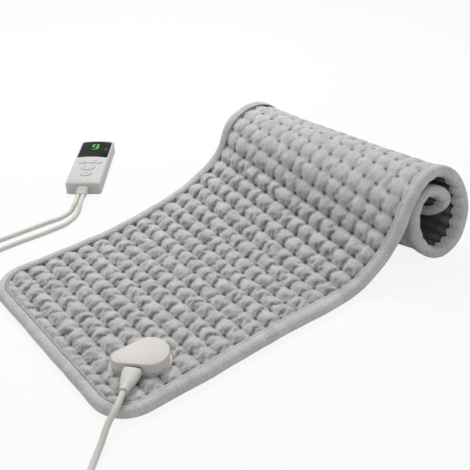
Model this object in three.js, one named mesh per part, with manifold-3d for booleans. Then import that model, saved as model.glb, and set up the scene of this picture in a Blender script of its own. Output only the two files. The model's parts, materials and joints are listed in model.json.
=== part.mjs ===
// Quilted heating pad with a detachable lead and a hand controller.
// Millimetres, +Z up. The origin lies on the floor under the flat part of the pad, +X runs along the
// pad towards its rolled end and +Y runs across it to the far edge.
import * as THREE from 'three';
import { mergeVertices } from 'three/addons/utils/BufferGeometryUtils.js';
import Module from 'manifold-3d';

const wasm = await Module();
wasm.setup();

// Pad
const PAD_WIDTH = 306;
const PAD_LENGTH = 888.2;
const FRONT_CORNER_RADIUS = 45;
const ROLLED_CORNER_RADIUS = 26.5;
const ORIGIN_FROM_END = 164;
const CELLS_ACROSS = 14;
const CELLS_ALONG = 36;
const PUFFED_ROWS = 23;
const QUILT_SIDE_MARGIN = 16.5;
const QUILT_END_MARGIN = 26.5;
const LAYER_GAP = 0.3;
const BOTTOM_COVER_THICKNESS = 4.6;
const CARRIER_THICKNESS = 0.8;
const WIRE_THICKNESS = 1.2;
const WIRE_WIDTH = 1.6;
const DOT_THICKNESS = 1.7;
const PUFF_RISE = 3.8;
const BINDING_WIDTH = 14.5;
const BINDING_CLOTH = 1.1;
const BINDING_THICKNESS = 12.5;
const BINDING_NOSE = 2;
const BINDING_CORNER_STEPS = 5;
const RIM_CLEARANCE = 2.4;
const ARM_CLEARANCE = 1.1;
const RIM_LIFT = 3.2;
const CARRIER_CORNER_INSET = 10;
const CUTOUT_LENGTH = 14;
const CUTOUT_WIDTH = 4;
const CUTOUT_FROM_END = 100;

// Roll, as the near and the far edge of the pad follow it: each edge lies flat, rises on two arcs,
// goes over the top, under, up inside and round the core
const BEND_PLANE = 6;
const NEAR_FLAT = 323.3;
const NEAR_RISE_RADIUS = 73.5;
const NEAR_RISE_TURN = 26.4;
const NEAR_STEEP_RADIUS = 120.6;
const NEAR_STEEP_TURN = 35.4;
const NEAR_OUTER_RADIUS = 65;
const NEAR_UNDER_RADIUS = 48;
const FAR_FLAT = 143.2;
const FAR_RISE_RADIUS = 429.5;
const FAR_RISE_TURN = 28.6;
const FAR_STEEP_RADIUS = 57.4;
const FAR_STEEP_TURN = 37;
const FAR_OUTER_RADIUS = 61;
const FAR_UNDER_RADIUS = 56;
const INNER_RADIUS = 40;
const INNER_TURN = 170;
const CORE_RADIUS = 28;
const STRAIGHT_END = 4;
// How far the near edge sways out of line, at distances along the pad
const SWAY = [[206, 0], [436, 10], [536, -2], [696, 24], [818, -10], [859, 0]];
// How far the far edge sags where the pad leaves the floor, and where along the pad it does so
const FAR_SAG = 7;
const FAR_SAG_SHARE = 0.84;
const FAR_SAG_ALONG = [206, 316, 386, 436];

// Connector puck: a drop-shaped outline round a large and a small circle
const PUCK_FROM_END = 71;
const PUCK_FROM_SIDE = 56;
const PUCK_TURN_DEG = 219.3;
const PUCK_LARGE_RADIUS = 21.5;
const PUCK_LARGE_STEPS = 18;
const PUCK_SMALL_STEPS = 8;
const PUCK_LARGE_X = -5;
const PUCK_LARGE_Y = 6;
const PUCK_SMALL_RADIUS = 10;
const PUCK_SMALL_X = 9;
const PUCK_SMALL_Y = -21.5;
const PUCK_WALL = 1.8;
const PUCK_FLOOR = 2.6;
const PUCK_BASE_HEIGHT = 11.5;
const PUCK_LID_HEIGHT = 4.2;
const PUCK_LID_TOP = 1.8;
const PUCK_LID_LIP = 2.5;
const PUCK_LID_WALL = 1.2;
const PUCK_FLANGE = 2.2;
const PUCK_FLANGE_THICKNESS = 1.2;
const PUCK_CLEAR_CELLS = 14;
const PUCK_POST_REACH = 11.5;
const PUCK_POST_RADIUS = 3.2;
const PUCK_SCREW_RADIUS = 1;
const PUCK_HEAD_RADIUS = 2.1;
const PUCK_HEAD_HEIGHT = 1.2;
const PUCK_HEAD_RECESS = 0.2;
const PUCK_SCREW_LENGTH = 8;
const PUCK_EDGE = 0.7;
const FEED_RADIUS = 1.6;
const FEED_X = -9;

// Socket, plug and boot, along the puck's own X
const PLUG_Y = -5;
const PLUG_Z = 8.5;
const PLUG_WIDTH = 15;
const PLUG_HEIGHT = 6;
const PLUG_FACE = 8.3;
const PLUG_LENGTH = 11.7;
const SOCKET_DEPTH = 8;
const SOCKET_WIDTH = 16;
const SOCKET_HEIGHT = 9.5;
const PIN_SPACING = 7;
const PIN_RADIUS = 1;
const PIN_REACH = 6;
const PIN_ROOT = 5;
const SLEEVE_WALL = 0.7;
const SLEEVE_LENGTH = 8.5;
const FIT = 0.3;
const ROD_SIDES = 12;
const BOOT_LENGTH = 29.5;
const BOOT_ROOT_WIDTH = 20.5;
const BOOT_ROOT_HEIGHT = 11.4;
const BOOT_COLLAR_DIAMETER = 10.6;
const BOOT_COLLAR_LENGTH = 3;
const BOOT_COLLAR_STEP = 0.4;
const BOOT_TAPER_POWER = 2;
const BOOT_ROOT_ROUNDNESS = 0.5;
const BOOT_SIDES = 16;

// Cords
const CORD_DIAMETER = 6.8;
const CORD_SIDES = 8;
const CORD_STEP = 19;
const CORD_SPACING = 7.6;
const CORD_STRAIGHT = 11;

// Controller, lying on its back. Its own Y runs towards the display end
const CASE_X = 92.4;
const CASE_Y = 334.8;
const CASE_TURN_DEG = -39.8;
const CASE_WIDTH = 54;
const CASE_LENGTH = 148;
const CASE_CORNER = 5;
const CASE_WALL = 1.8;
const CASE_TOP = 3.2;
const CASE_SPLIT = 9;
const CASE_SIDE_HEIGHT = 18.5;
const CASE_CROWN = 2.5;
const CASE_EDGE = 2;
const CROWN_STEPS = 10;
const BOARD_SIDE_GAP = 1.7;
const BOARD_HEAD_GAP = 2.2;
const BOARD_TAIL_GAP = 4.2;
const BOARD_HEIGHT = 7.6;
const BOARD_THICKNESS = 1.6;
const SCREW_FROM_SIDE = 6;
const SCREW_FROM_END = 9;
const SCREW_RADIUS = 1.4;
const SCREW_HEAD_RADIUS = 2.6;
const SCREW_HEAD_HEIGHT = 1.6;
const SCREW_LENGTH = 12;
const SCREW_RECESS = 0.6;
const POST_RADIUS = 3.4;
const POST_TOP = 17;
const POST_BORE_TOP = 15;
const LENS_SIDE_MARGIN = 3;
const LENS_HEAD_MARGIN = 7.2;
const LENS_FROM_TAIL = 86;
const LENS_CORNER = 3;
const LENS_THICKNESS = 1.4;
const WINDOW_LEDGE = 4;
const DISPLAY_MARGIN = 6.2;
const DISPLAY_HEIGHT = 6.5;
const KEY_PROUD = 1;
const KEY_SIDES = 24;
const KEY_CLEARANCE = 0.4;
const KEY_BOTTOM = 15.4;
const KEY_EAR = 1.5;
const KEY_EAR_WIDTH = 6;
const KEY_EAR_THICKNESS = 1;
const KEY_EAR_DROP = 0.4;
const KEY_GAP = 1;
const ROCKER_FROM_TAIL = 68.5;
const ROCKER_FROM_SIDE = 8.8;
const ROCKER_WIDTH = 10.4;
const END_FLAT = 0.01;
const ROCKER_STEM_FROM_END = 7.2;
const MODE_FROM_TAIL = 50.6;
const MODE_RADIUS = 10.6;
const POWER_FROM_TAIL = 29;
const POWER_RADIUS = 8.6;
const STEM_RADIUS = 2.2;
const SWITCH_SIZE = 6;
const SWITCH_HEIGHT = 3.1;
const SWITCH_PLUNGER_RADIUS = 1.6;
const SWITCH_PLUNGER_HEIGHT = 0.7;
const RELAY_WIDTH = 20;
const RELAY_LENGTH = 10;
const RELAY_HEIGHT = 6;
const RELAY_FROM_TAIL = 14;
const RELIEF_Z = 10;
const RELIEF_LENGTH = 20.8;
const RELIEF_WIDTH = 17.6;
const RELIEF_HEIGHT = 10.4;
const RELIEF_TAPER = 1.2;
const RELIEF_RIBS = 6;
const RELIEF_GROOVE = 1.6;
const NECK_WIDTH = 13;
const NECK_HEIGHT = 7.6;
const NECK_FLANGE = 2;
const NECK_FLANGE_THICKNESS = 2;

// Mains lead: its spare length is a round coil of two layers, held by a band
const COIL_X = -165;
const COIL_OUTER_RADIUS = 50;
const COIL_TURNS = 6;
const COIL_PITCH = 7.5;
const COIL_STEPS = 24;
const COIL_SIDES = 6;
const COIL_RUN_Y = 235;
const COIL_CLIMB_TURNS = 0.5;
const TIE_WIDTH = 9;
const TIE_THICKNESS = 1.2;
const TIE_GAP = 0.4;
const TIE_SIDE_GAP = 1;
const TAIL_LENGTH = 34;
const MAINS_BODY_LENGTH = 36;
const MAINS_BODY_WIDTH = 26;
const MAINS_BODY_HEIGHT = 22;
const MAINS_BODY_CORNER = 5;
const MAINS_BOOT_LENGTH = 26;
const MAINS_BOOT_ROOT = 14;
const MAINS_BOOT_TIP = 9.4;
const BLADE_SPACING = 12.7;
const BLADE_THICKNESS = 1.5;
const BLADE_WIDTH = 6.3;
const BLADE_LENGTH = 17;
const BLADE_ROOT = 6;

// Colours and finishes
const PLUSH = { color: 0xb4b4b4, roughness: 0.95, metalness: 0 };
const FELT = { color: 0xe8e6e0, roughness: 0.95, metalness: 0 };
const WIRE = { color: 0xc9bfae, roughness: 0.6, metalness: 0 };
const OFF_WHITE = { color: 0xdcd7d2, roughness: 0.5, metalness: 0 };
const CASE_WHITE = { color: 0xdededc, roughness: 0.45, metalness: 0 };
const CORD_WHITE = { color: 0xcfcec6, roughness: 0.55, metalness: 0 };
const LENS_BLACK = { color: 0x0b0c0d, roughness: 0.1, metalness: 0 };
const DARK = { color: 0x2a2b2d, roughness: 0.6, metalness: 0 };
const BOARD_GREEN = { color: 0x2f6b45, roughness: 0.6, metalness: 0 };
const STEEL = { color: 0xb9bcc0, roughness: 0.35, metalness: 1 };
const BRASS = { color: 0xc9a557, roughness: 0.35, metalness: 1 };

const model = new THREE.Group();

function place(group, name, geometry, look) {
  const mesh = new THREE.Mesh(geometry, new THREE.MeshStandardMaterial(look));
  mesh.name = name;
  group.add(mesh);
}

// Booleans
function solidOf(geometry) {
  const bare = geometry.clone();
  bare.deleteAttribute('normal');
  bare.deleteAttribute('uv');
  const welded = mergeVertices(bare, 1e-4);
  const vertProperties = new Float32Array(welded.attributes.position.array);
  const triVerts = new Uint32Array(welded.index.array);
  return new wasm.Manifold(new wasm.Mesh({ numProp: 3, vertProperties, triVerts }));
}

function geometryOf(solid) {
  const mesh = solid.getMesh();
  const geometry = new THREE.BufferGeometry();
  geometry.setAttribute('position', new THREE.BufferAttribute(new Float32Array(mesh.vertProperties), 3));
  geometry.setIndex(new THREE.BufferAttribute(new Uint32Array(mesh.triVerts), 1));
  return geometry;
}

function joined(first, ...others) {
  return others.reduce((whole, piece) => whole.add(piece), first);
}

function cut(first, ...tools) {
  return tools.reduce((whole, tool) => whole.subtract(tool), first);
}

// Simple solids
function boxSolid(width, length, height, x, y, z) {
  const geometry = new THREE.BoxGeometry(width, length, height);
  return solidOf(geometry.translate(x, y, z + height / 2));
}

function rodSolid(radius, height, x, y, z, sides = ROD_SIDES) {
  const geometry = new THREE.CylinderGeometry(radius, radius, height, sides);
  return solidOf(geometry.rotateX(Math.PI / 2).translate(x, y, z + height / 2));
}

function roundedRectangle(width, length, radius) {
  const w = width / 2 - radius;
  const l = length / 2 - radius;
  const shape = new THREE.Shape();
  shape.absarc(w, l, radius, 0, Math.PI / 2);
  shape.absarc(-w, l, radius, Math.PI / 2, Math.PI);
  shape.absarc(-w, -l, radius, Math.PI, 1.5 * Math.PI);
  shape.absarc(w, -l, radius, 1.5 * Math.PI, 2 * Math.PI);
  return shape;
}

function raised(shape, bottom, top, curveSegments = 6) {
  const options = { depth: top - bottom, bevelEnabled: false, curveSegments };
  return solidOf(new THREE.ExtrudeGeometry(shape, options).translate(0, 0, bottom));
}

function roundedBlock(width, length, radius, x, y, bottom, top) {
  return raised(roundedRectangle(width, length, radius), bottom, top, 4).translate([x, y, 0]);
}

// A closed skin over rings of points. The ends are closed flat unless the rings form a loop
function loft(rings, loop = false) {
  const count = rings[0].length;
  const positions = rings.flat().flatMap((p) => [p.x, p.y, p.z]);
  const faces = [];
  const last = loop ? rings.length : rings.length - 1;
  for (let i = 0; i < last; i += 1) {
    const here = i * count;
    const next = ((i + 1) % rings.length) * count;
    for (let k = 0; k < count; k += 1) {
      const m = (k + 1) % count;
      faces.push(here + k, here + m, next + m, here + k, next + m, next + k);
    }
  }
  if (!loop) {
    const end = (rings.length - 1) * count;
    for (let k = 1; k < count - 1; k += 1) {
      faces.push(0, k + 1, k, end, end + k, end + k + 1);
    }
  }
  return facingOut(positions, faces);
}

function facingOut(positions, faces) {
  const corner = (i) => new THREE.Vector3().fromArray(positions, 3 * i);
  let volume = 0;
  for (let i = 0; i < faces.length; i += 3) {
    const [a, b, c] = [corner(faces[i]), corner(faces[i + 1]), corner(faces[i + 2])];
    volume += a.dot(b.cross(c));
  }
  if (volume < 0) {
    for (let i = 0; i < faces.length; i += 3) {
      [faces[i], faces[i + 1]] = [faces[i + 1], faces[i]];
    }
  }
  const geometry = new THREE.BufferGeometry();
  geometry.setAttribute('position', new THREE.Float32BufferAttribute(positions, 3));
  geometry.setIndex(faces);
  return geometry;
}

// The sheet: maps a place on the flat pad, s along it and v across it, and a height h above its
// underside to the rolled pad
function edgeTurns(share) {
  const mix = (near, far) => near + (far - near) * share;
  const rad = THREE.MathUtils.degToRad;
  const rise = mix(NEAR_RISE_RADIUS, FAR_RISE_RADIUS);
  const steep = mix(NEAR_STEEP_RADIUS, FAR_STEEP_RADIUS);
  const outer = mix(NEAR_OUTER_RADIUS, FAR_OUTER_RADIUS);
  const under = mix(NEAR_UNDER_RADIUS, FAR_UNDER_RADIUS);
  const firstTurn = rad(mix(NEAR_RISE_TURN, FAR_RISE_TURN));
  const turn = firstTurn + rad(mix(NEAR_STEEP_TURN, FAR_STEEP_TURN));
  const lift = rise * (1 - Math.cos(firstTurn)) + steep * (Math.cos(firstTurn) - Math.cos(turn));
  const drop = outer * Math.cos(turn) + under;
  // The straight stretch is as long as it takes for the roll to rest on the floor
  const straight = (PAD_TOP - 2 * BEND_PLANE + drop - lift) / Math.sin(turn);
  const turns = [
    [mix(NEAR_FLAT, FAR_FLAT), 0],
    [rise * firstTurn, 1 / rise],
    [steep * (turn - firstTurn), 1 / steep],
    [straight, 0],
    [outer * (turn + Math.PI / 2), -1 / outer],
    [under * Math.PI / 2, -1 / under],
    [INNER_RADIUS * rad(INNER_TURN), -1 / INNER_RADIUS],
  ];
  const used = turns.reduce((sum, [length]) => sum + length, 0);
  turns.push([Math.max(PAD_LENGTH - STRAIGHT_END - used, 0), -1 / CORE_RADIUS]);
  return turns;
}

function swayAt(s) {
  const next = SWAY.findIndex(([at]) => at > s);
  if (next === 0) return SWAY[0][1];
  if (next < 0) return SWAY[SWAY.length - 1][1];
  const [[s0, y0], [s1, y1]] = [SWAY[next - 1], SWAY[next]];
  return y0 + (y1 - y0) * THREE.MathUtils.smoothstep(s, s0, s1);
}

function farSag(s, share) {
  const [start, full, easing, end] = FAR_SAG_ALONG;
  const { smoothstep } = THREE.MathUtils;
  const along = smoothstep(s, start, full) * (1 - smoothstep(s, easing, end));
  return FAR_SAG * along * smoothstep(share, FAR_SAG_SHARE, 1);
}

function onSheet(s, v, h) {
  const share = v / PAD_WIDTH + 0.5;
  let [x, z, angle, left] = [-ORIGIN_FROM_END, BEND_PLANE, 0, s];
  for (const [length, bend] of [...edgeTurns(share), [PAD_LENGTH, 0]]) {
    const run = Math.min(left, length);
    const turned = angle + run * bend;
    if (bend === 0) {
      x += run * Math.cos(angle);
      z += run * Math.sin(angle);
    } else {
      x += (Math.sin(turned) - Math.sin(angle)) / bend;
      z -= (Math.cos(turned) - Math.cos(angle)) / bend;
    }
    angle = turned;
    left -= run;
  }
  const off = h - BEND_PLANE - farSag(s, share);
  const y = v - swayAt(s) * (1 - share);
  return new THREE.Vector3(x - off * Math.sin(angle), y, z + off * Math.cos(angle));
}

// Distance from a place on the flat pad to its outline, and the same place pulled inside a rounded corner
function cornerRadius(s) {
  return s < PAD_LENGTH / 2 ? FRONT_CORNER_RADIUS : ROLLED_CORNER_RADIUS;
}

function cornerOffset(s, v) {
  const radius = cornerRadius(s);
  const ds = Math.max(radius - s, s - PAD_LENGTH + radius, 0);
  const dv = Math.max(Math.abs(v) - PAD_WIDTH / 2 + radius, 0);
  return [ds, dv];
}

function edgeDistance(s, v) {
  const [ds, dv] = cornerOffset(s, v);
  if (ds > 0 && dv > 0) return cornerRadius(s) - Math.hypot(ds, dv);
  return Math.min(s, PAD_LENGTH - s, PAD_WIDTH / 2 - Math.abs(v));
}

function insideOutline(s, v, inset) {
  const [ds, dv] = cornerOffset(s, v);
  const reach = Math.max(cornerRadius(s) - inset, 0);
  const far = Math.hypot(ds, dv);
  if (ds === 0 || dv === 0 || far <= reach) return [s, v];
  const pull = 1 - reach / far;
  return [s + (s < PAD_LENGTH / 2 ? 1 : -1) * ds * pull, v - Math.sign(v) * dv * pull];
}

// A layer of the pad between a top and a bottom height, over rows along the pad. Its top may have
// more lines across it than its bottom, and a pillow in each of its cells
function sheetLayer({ rows, topLines, bottomLines, inset, top, bottom, puff = () => 0 }) {
  const positions = [];
  const faces = [];
  const vertex = (s, v, height, lift = 0) => {
    const [s1, v1] = insideOutline(s, v, inset);
    positions.push(...onSheet(s1, v1, height(s1, v1) + lift).toArray());
    return positions.length / 3 - 1;
  };
  const quad = (a, b, c, d) => faces.push(a, b, c, a, c, d);
  const topGrid = rows.map((s) => topLines.map((v) => vertex(s, v, top)));
  const bottomGrid = rows.map((s) => bottomLines.map((v) => vertex(s, v, bottom)));
  for (let i = 0; i < rows.length - 1; i += 1) {
    for (let j = 0; j < topLines.length - 1; j += 1) {
      const ring = [topGrid[i][j], topGrid[i + 1][j], topGrid[i + 1][j + 1], topGrid[i][j + 1]];
      const [s, v] = [(rows[i] + rows[i + 1]) / 2, (topLines[j] + topLines[j + 1]) / 2];
      const lift = puff(i, s, v);
      if (lift > 0) {
        const peak = vertex(s, v, top, lift);
        ring.forEach((a, k) => faces.push(a, ring[(k + 1) % 4], peak));
      } else {
        quad(...ring);
      }
    }
    for (let j = 0; j < bottomLines.length - 1; j += 1) {
      const [a, b] = [bottomGrid[i], bottomGrid[i + 1]];
      quad(a[j], a[j + 1], b[j + 1], b[j]);
    }
    const [nearTop, nearBottom] = [topLines.length - 1, bottomLines.length - 1];
    quad(topGrid[i][0], bottomGrid[i][0], bottomGrid[i + 1][0], topGrid[i + 1][0]);
    const [here, next] = [bottomGrid[i][nearBottom], bottomGrid[i + 1][nearBottom]];
    quad(topGrid[i + 1][nearTop], next, here, topGrid[i][nearTop]);
  }
  closeEnd(faces, topGrid[0], bottomGrid[0], topLines, bottomLines, false);
  closeEnd(faces, topGrid[rows.length - 1], bottomGrid[rows.length - 1], topLines, bottomLines, true);
  return facingOut(positions, faces);
}

// Closes the wall between two rows of points that have different counts
function closeEnd(faces, top, bottom, topLines, bottomLines, flip) {
  let [i, j] = [0, 0];
  while (i < top.length - 1 || j < bottom.length - 1) {
    const topNext = i < top.length - 1 && (j === bottom.length - 1 || topLines[i + 1] <= bottomLines[j + 1]);
    const face = topNext ? [top[i], top[i + 1], bottom[j]] : [top[i], bottom[j + 1], bottom[j]];
    faces.push(...(flip ? face.reverse() : face));
    if (topNext) i += 1;
    else j += 1;
  }
}

function evenly(from, to, count) {
  return Array.from({ length: count + 1 }, (_, i) => from + ((to - from) * i) / count);
}

// Heights of the layers above the underside
const CARRIER_BOTTOM = BOTTOM_COVER_THICKNESS + LAYER_GAP;
const WIRE_BOTTOM = CARRIER_BOTTOM + CARRIER_THICKNESS + LAYER_GAP;
const TOP_COVER_BOTTOM = WIRE_BOTTOM + WIRE_THICKNESS + LAYER_GAP;
const DOT_HEIGHT = TOP_COVER_BOTTOM + DOT_THICKNESS;
const PAD_TOP = Math.max(DOT_HEIGHT + PUFF_RISE, BINDING_THICKNESS);
const ARM_UNDERSIDE = BINDING_THICKNESS - BINDING_CLOTH;

const HALF_WIDTH = PAD_WIDTH / 2;
const RIM_INSET = BINDING_CLOTH + RIM_CLEARANCE;
const ARM_STEP = BINDING_WIDTH + LAYER_GAP;
const QUILT_HALF = HALF_WIDTH - QUILT_SIDE_MARGIN;
const quiltRows = evenly(QUILT_END_MARGIN, PAD_LENGTH - QUILT_END_MARGIN, CELLS_ALONG);
const quiltLines = evenly(-QUILT_HALF, QUILT_HALF, CELLS_ACROSS);
const wireLines = quiltLines.filter((_, i) => i % 2 === 0);
const layerRows = [...quiltRows, PAD_LENGTH - ROLLED_CORNER_RADIUS, PAD_LENGTH - ARM_STEP]
  .sort((a, b) => a - b)
  .filter((s, i, all) => i === 0 || s - all[i - 1] > LAYER_GAP);

function withRim(lines, rim, extra = []) {
  return [rim[0], ...extra.slice(0, extra.length / 2), ...lines, ...extra.slice(extra.length / 2), rim[1]];
}

const rowRim = [RIM_INSET, PAD_LENGTH - RIM_INSET];
const lineRim = [-HALF_WIDTH + RIM_INSET, HALF_WIDTH - RIM_INSET];

// The puck's place on the pad, and its own axes
const PUCK_X = PUCK_FROM_END - ORIGIN_FROM_END;
const PUCK_Y = PUCK_FROM_SIDE - HALF_WIDTH;
const puckTurn = THREE.MathUtils.degToRad(PUCK_TURN_DEG);
const PUCK_BOTTOM = DOT_HEIGHT + LAYER_GAP;

function inPuckFrame(s, v) {
  const at = new THREE.Vector2(s - ORIGIN_FROM_END - PUCK_X, v - PUCK_Y);
  return at.rotateAround(new THREE.Vector2(), -puckTurn);
}

// Cells under the puck and its boot are pressed flat
function isUnderPuck(s, v) {
  const at = inPuckFrame(s, v);
  const fromLarge = Math.hypot(at.x - PUCK_LARGE_X, at.y - PUCK_LARGE_Y);
  const fromSmall = Math.hypot(at.x - PUCK_SMALL_X, at.y - PUCK_SMALL_Y);
  const nearLarge = fromLarge < PUCK_LARGE_RADIUS + PUCK_CLEAR_CELLS;
  const nearSmall = fromSmall < PUCK_SMALL_RADIUS + PUCK_CLEAR_CELLS;
  const alongBoot = at.x > 0 && at.x < PLUG_FACE + PLUG_LENGTH + BOOT_LENGTH + PUCK_CLEAR_CELLS;
  const underBoot = alongBoot && Math.abs(at.y - PLUG_Y) < BOOT_ROOT_WIDTH / 2 + PUCK_CLEAR_CELLS;
  return nearLarge || nearSmall || underBoot;
}

function padTopCover() {
  const layer = sheetLayer({
    rows: withRim(layerRows, rowRim),
    topLines: withRim(quiltLines, lineRim),
    bottomLines: withRim(wireLines, lineRim),
    inset: RIM_INSET,
    top: (s, v) => (edgeDistance(s, v) < BINDING_WIDTH / 2 ? ARM_UNDERSIDE - ARM_CLEARANCE : DOT_HEIGHT),
    bottom: () => TOP_COVER_BOTTOM,
    puff: (row, s, v) => {
      const quilted = row > 0 && row <= PUFFED_ROWS && Math.abs(v) < QUILT_HALF;
      return quilted && !isUnderPuck(s, v) ? PUFF_RISE : 0;
    },
  });
  const hole = rodSolid(FEED_RADIUS + FIT, PAD_TOP, 0, 0, WIRE_BOTTOM, 8).translate(feedPlace());
  return geometryOf(cut(solidOf(layer), hole));
}

function feedPlace() {
  const at = new THREE.Vector2(FEED_X, PLUG_Y).rotateAround(new THREE.Vector2(), puckTurn);
  return [PUCK_X + at.x, PUCK_Y + at.y, 0];
}

function padBottomCover() {
  const step = [-HALF_WIDTH + ARM_STEP, HALF_WIDTH - ARM_STEP];
  return sheetLayer({
    rows: withRim([ARM_STEP, ...layerRows], rowRim),
    topLines: withRim(wireLines, lineRim),
    bottomLines: withRim(wireLines, lineRim, step),
    inset: RIM_INSET,
    top: () => BOTTOM_COVER_THICKNESS,
    bottom: (s, v) => {
      const inRolledCorner = s > PAD_LENGTH - QUILT_END_MARGIN - FIT && Math.abs(v) > QUILT_HALF - FIT;
      return inRolledCorner || edgeDistance(s, v) < ARM_STEP + LAYER_GAP ? RIM_LIFT : 0;
    },
  });
}

// The felt sheet is as large as the quilted field
function heatingCarrier() {
  return sheetLayer({
    rows: layerRows.filter((s) => s < PAD_LENGTH - QUILT_END_MARGIN + FIT),
    topLines: wireLines,
    bottomLines: wireLines,
    inset: CARRIER_CORNER_INSET,
    top: () => CARRIER_BOTTOM + CARRIER_THICKNESS,
    bottom: () => CARRIER_BOTTOM,
  });
}

// The wire runs up and down the pad, one run on each inner line, and crosses over at the ends
function heatingWire() {
  const lines = wireLines.slice(1, -1);
  const rows = quiltRows.slice(1, -1);
  const path = lines.flatMap((v, k) => (k % 2 === 0 ? rows : [...rows].reverse()).map((s) => [s, v]));
  const at = ([s, v], h) => onSheet(s, v, h);
  const foot = WIRE_BOTTOM + WIRE_THICKNESS / 4;
  const rings = path.map((place, i) => {
    const before = path[Math.max(i - 1, 0)];
    const after = path[Math.min(i + 1, path.length - 1)];
    const along = new THREE.Vector2(after[0] - before[0], after[1] - before[1]).normalize();
    const turned = before[0] !== after[0] && before[1] !== after[1] ? Math.SQRT2 : 1;
    const half = (WIRE_WIDTH / 2) * turned;
    const left = [place[0] - along.y * half, place[1] + along.x * half];
    const right = [place[0] + along.y * half, place[1] - along.x * half];
    return [at(left, foot), at(place, WIRE_BOTTOM + WIRE_THICKNESS), at(right, foot)];
  });
  return loft(rings);
}

// Tape folded round the edge: a channel swept round the outline of the pad
function edgeBinding() {
  const inner = BINDING_WIDTH - BINDING_CLOTH;
  const middle = BINDING_THICKNESS / 2;
  const section = [
    [0, 0], [BINDING_WIDTH - BINDING_NOSE, 0], [BINDING_WIDTH, middle],
    [BINDING_WIDTH - BINDING_NOSE, BINDING_THICKNESS], [0, BINDING_THICKNESS],
    [0, ARM_UNDERSIDE], [inner - BINDING_NOSE / 2, ARM_UNDERSIDE], [inner, middle],
    [inner - BINDING_NOSE / 2, BINDING_CLOTH], [0, BINDING_CLOTH],
  ];
  const low = FRONT_CORNER_RADIUS;
  const high = PAD_LENGTH - ROLLED_CORNER_RADIUS;
  const rows = [low, ...quiltRows.filter((s) => s > low + FIT && s < high - FIT), high];
  const linesTo = (side) => [-side, ...wireLines.filter((v) => Math.abs(v) < side), side];
  const frontSide = HALF_WIDTH - FRONT_CORNER_RADIUS;
  const rolledSide = HALF_WIDTH - ROLLED_CORNER_RADIUS;
  const runs = [
    { degrees: 90, places: rows.map((s) => [s, rolledSide]) },
    { degrees: 0, places: linesTo(rolledSide).map((v) => [high, -v]) },
    { degrees: -90, places: [...rows].reverse().map((s) => [s, -frontSide]) },
    { degrees: -180, places: linesTo(frontSide).map((v) => [low, v]) },
  ];
  const stations = runs.flatMap(({ degrees, places }) => {
    const last = places[places.length - 1];
    const corner = evenly(0, 90, BINDING_CORNER_STEPS).slice(1, -1).map((turn) => [...last, degrees - turn]);
    const radius = cornerRadius(last[0]);
    return [...places.map((at) => [...at, degrees]), ...corner].map((station) => [...station, radius]);
  });
  const rings = stations.map(([s, v, degrees, radius]) => section.map(([u, h]) => {
    const angle = THREE.MathUtils.degToRad(degrees);
    const out = radius - BINDING_WIDTH + u;
    return onSheet(s + out * Math.cos(angle), v + out * Math.sin(angle), h);
  }));
  return loft(rings, true);
}

function thermalCutout() {
  const x = CUTOUT_FROM_END - ORIGIN_FROM_END;
  return geometryOf(boxSolid(CUTOUT_LENGTH, CUTOUT_WIDTH, WIRE_THICKNESS, x, 0, WIRE_BOTTOM));
}

// Connector puck, in its own frame: its X is the plug's axis and its base is at height 0
const largeCentre = new THREE.Vector2(PUCK_LARGE_X, PUCK_LARGE_Y);
const smallCentre = new THREE.Vector2(PUCK_SMALL_X, PUCK_SMALL_Y);

function puckOutline(grow) {
  const across = smallCentre.clone().sub(largeCentre);
  const facing = across.angle();
  const lean = Math.acos((PUCK_LARGE_RADIUS - PUCK_SMALL_RADIUS) / across.length());
  const arc = (centre, radius, from, to, steps) => evenly(from, to, steps).map((angle) => {
    const out = new THREE.Vector2(Math.cos(angle), Math.sin(angle)).multiplyScalar(radius + grow);
    return out.add(centre);
  });
  return [
    ...arc(largeCentre, PUCK_LARGE_RADIUS, facing + lean, facing - lean + 2 * Math.PI, PUCK_LARGE_STEPS),
    ...arc(smallCentre, PUCK_SMALL_RADIUS, facing - lean, facing + lean, PUCK_SMALL_STEPS),
  ];
}

function puckRing(grow, z) {
  return puckOutline(grow).map((p) => new THREE.Vector3(p.x, p.y, z));
}

function puckSolid(grow, bottom, top) {
  return solidOf(loft([puckRing(grow, bottom), puckRing(grow, top)]));
}

function puckPosts() {
  const away = largeCentre.clone().sub(smallCentre).setLength(PUCK_POST_REACH);
  return [smallCentre, largeCentre.clone().add(away)];
}

const LID_BOTTOM = PUCK_BASE_HEIGHT + FIT;
const PUCK_TOP = LID_BOTTOM + PUCK_LID_HEIGHT;

function plugOpening(from, bottom, top) {
  const middle = from + PUCK_LARGE_RADIUS / 2;
  return boxSolid(PUCK_LARGE_RADIUS, PLUG_WIDTH + 2 * FIT, top - bottom, middle, PLUG_Y, bottom);
}

function connectorBase() {
  const shell = joined(puckSolid(PUCK_FLANGE, 0, PUCK_FLANGE_THICKNESS), puckSolid(0, 0, PUCK_BASE_HEIGHT));
  const recess = PUCK_HEAD_RECESS + PUCK_HEAD_HEIGHT + FIT;
  const holes = puckPosts().flatMap((at) => [
    rodSolid(PUCK_HEAD_RADIUS + FIT, recess, at.x, at.y, 0),
    rodSolid(PUCK_SCREW_RADIUS + FIT, PUCK_FLOOR, at.x, at.y, 0),
  ]);
  return geometryOf(cut(
    shell,
    puckSolid(-PUCK_WALL, PUCK_FLOOR, PUCK_TOP),
    plugOpening(SOCKET_DEPTH, PLUG_Z - PLUG_HEIGHT / 2 - FIT, PUCK_TOP),
    rodSolid(FEED_RADIUS + FIT, PUCK_FLOOR, FEED_X, PLUG_Y, 0),
    ...holes,
  ));
}

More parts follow.
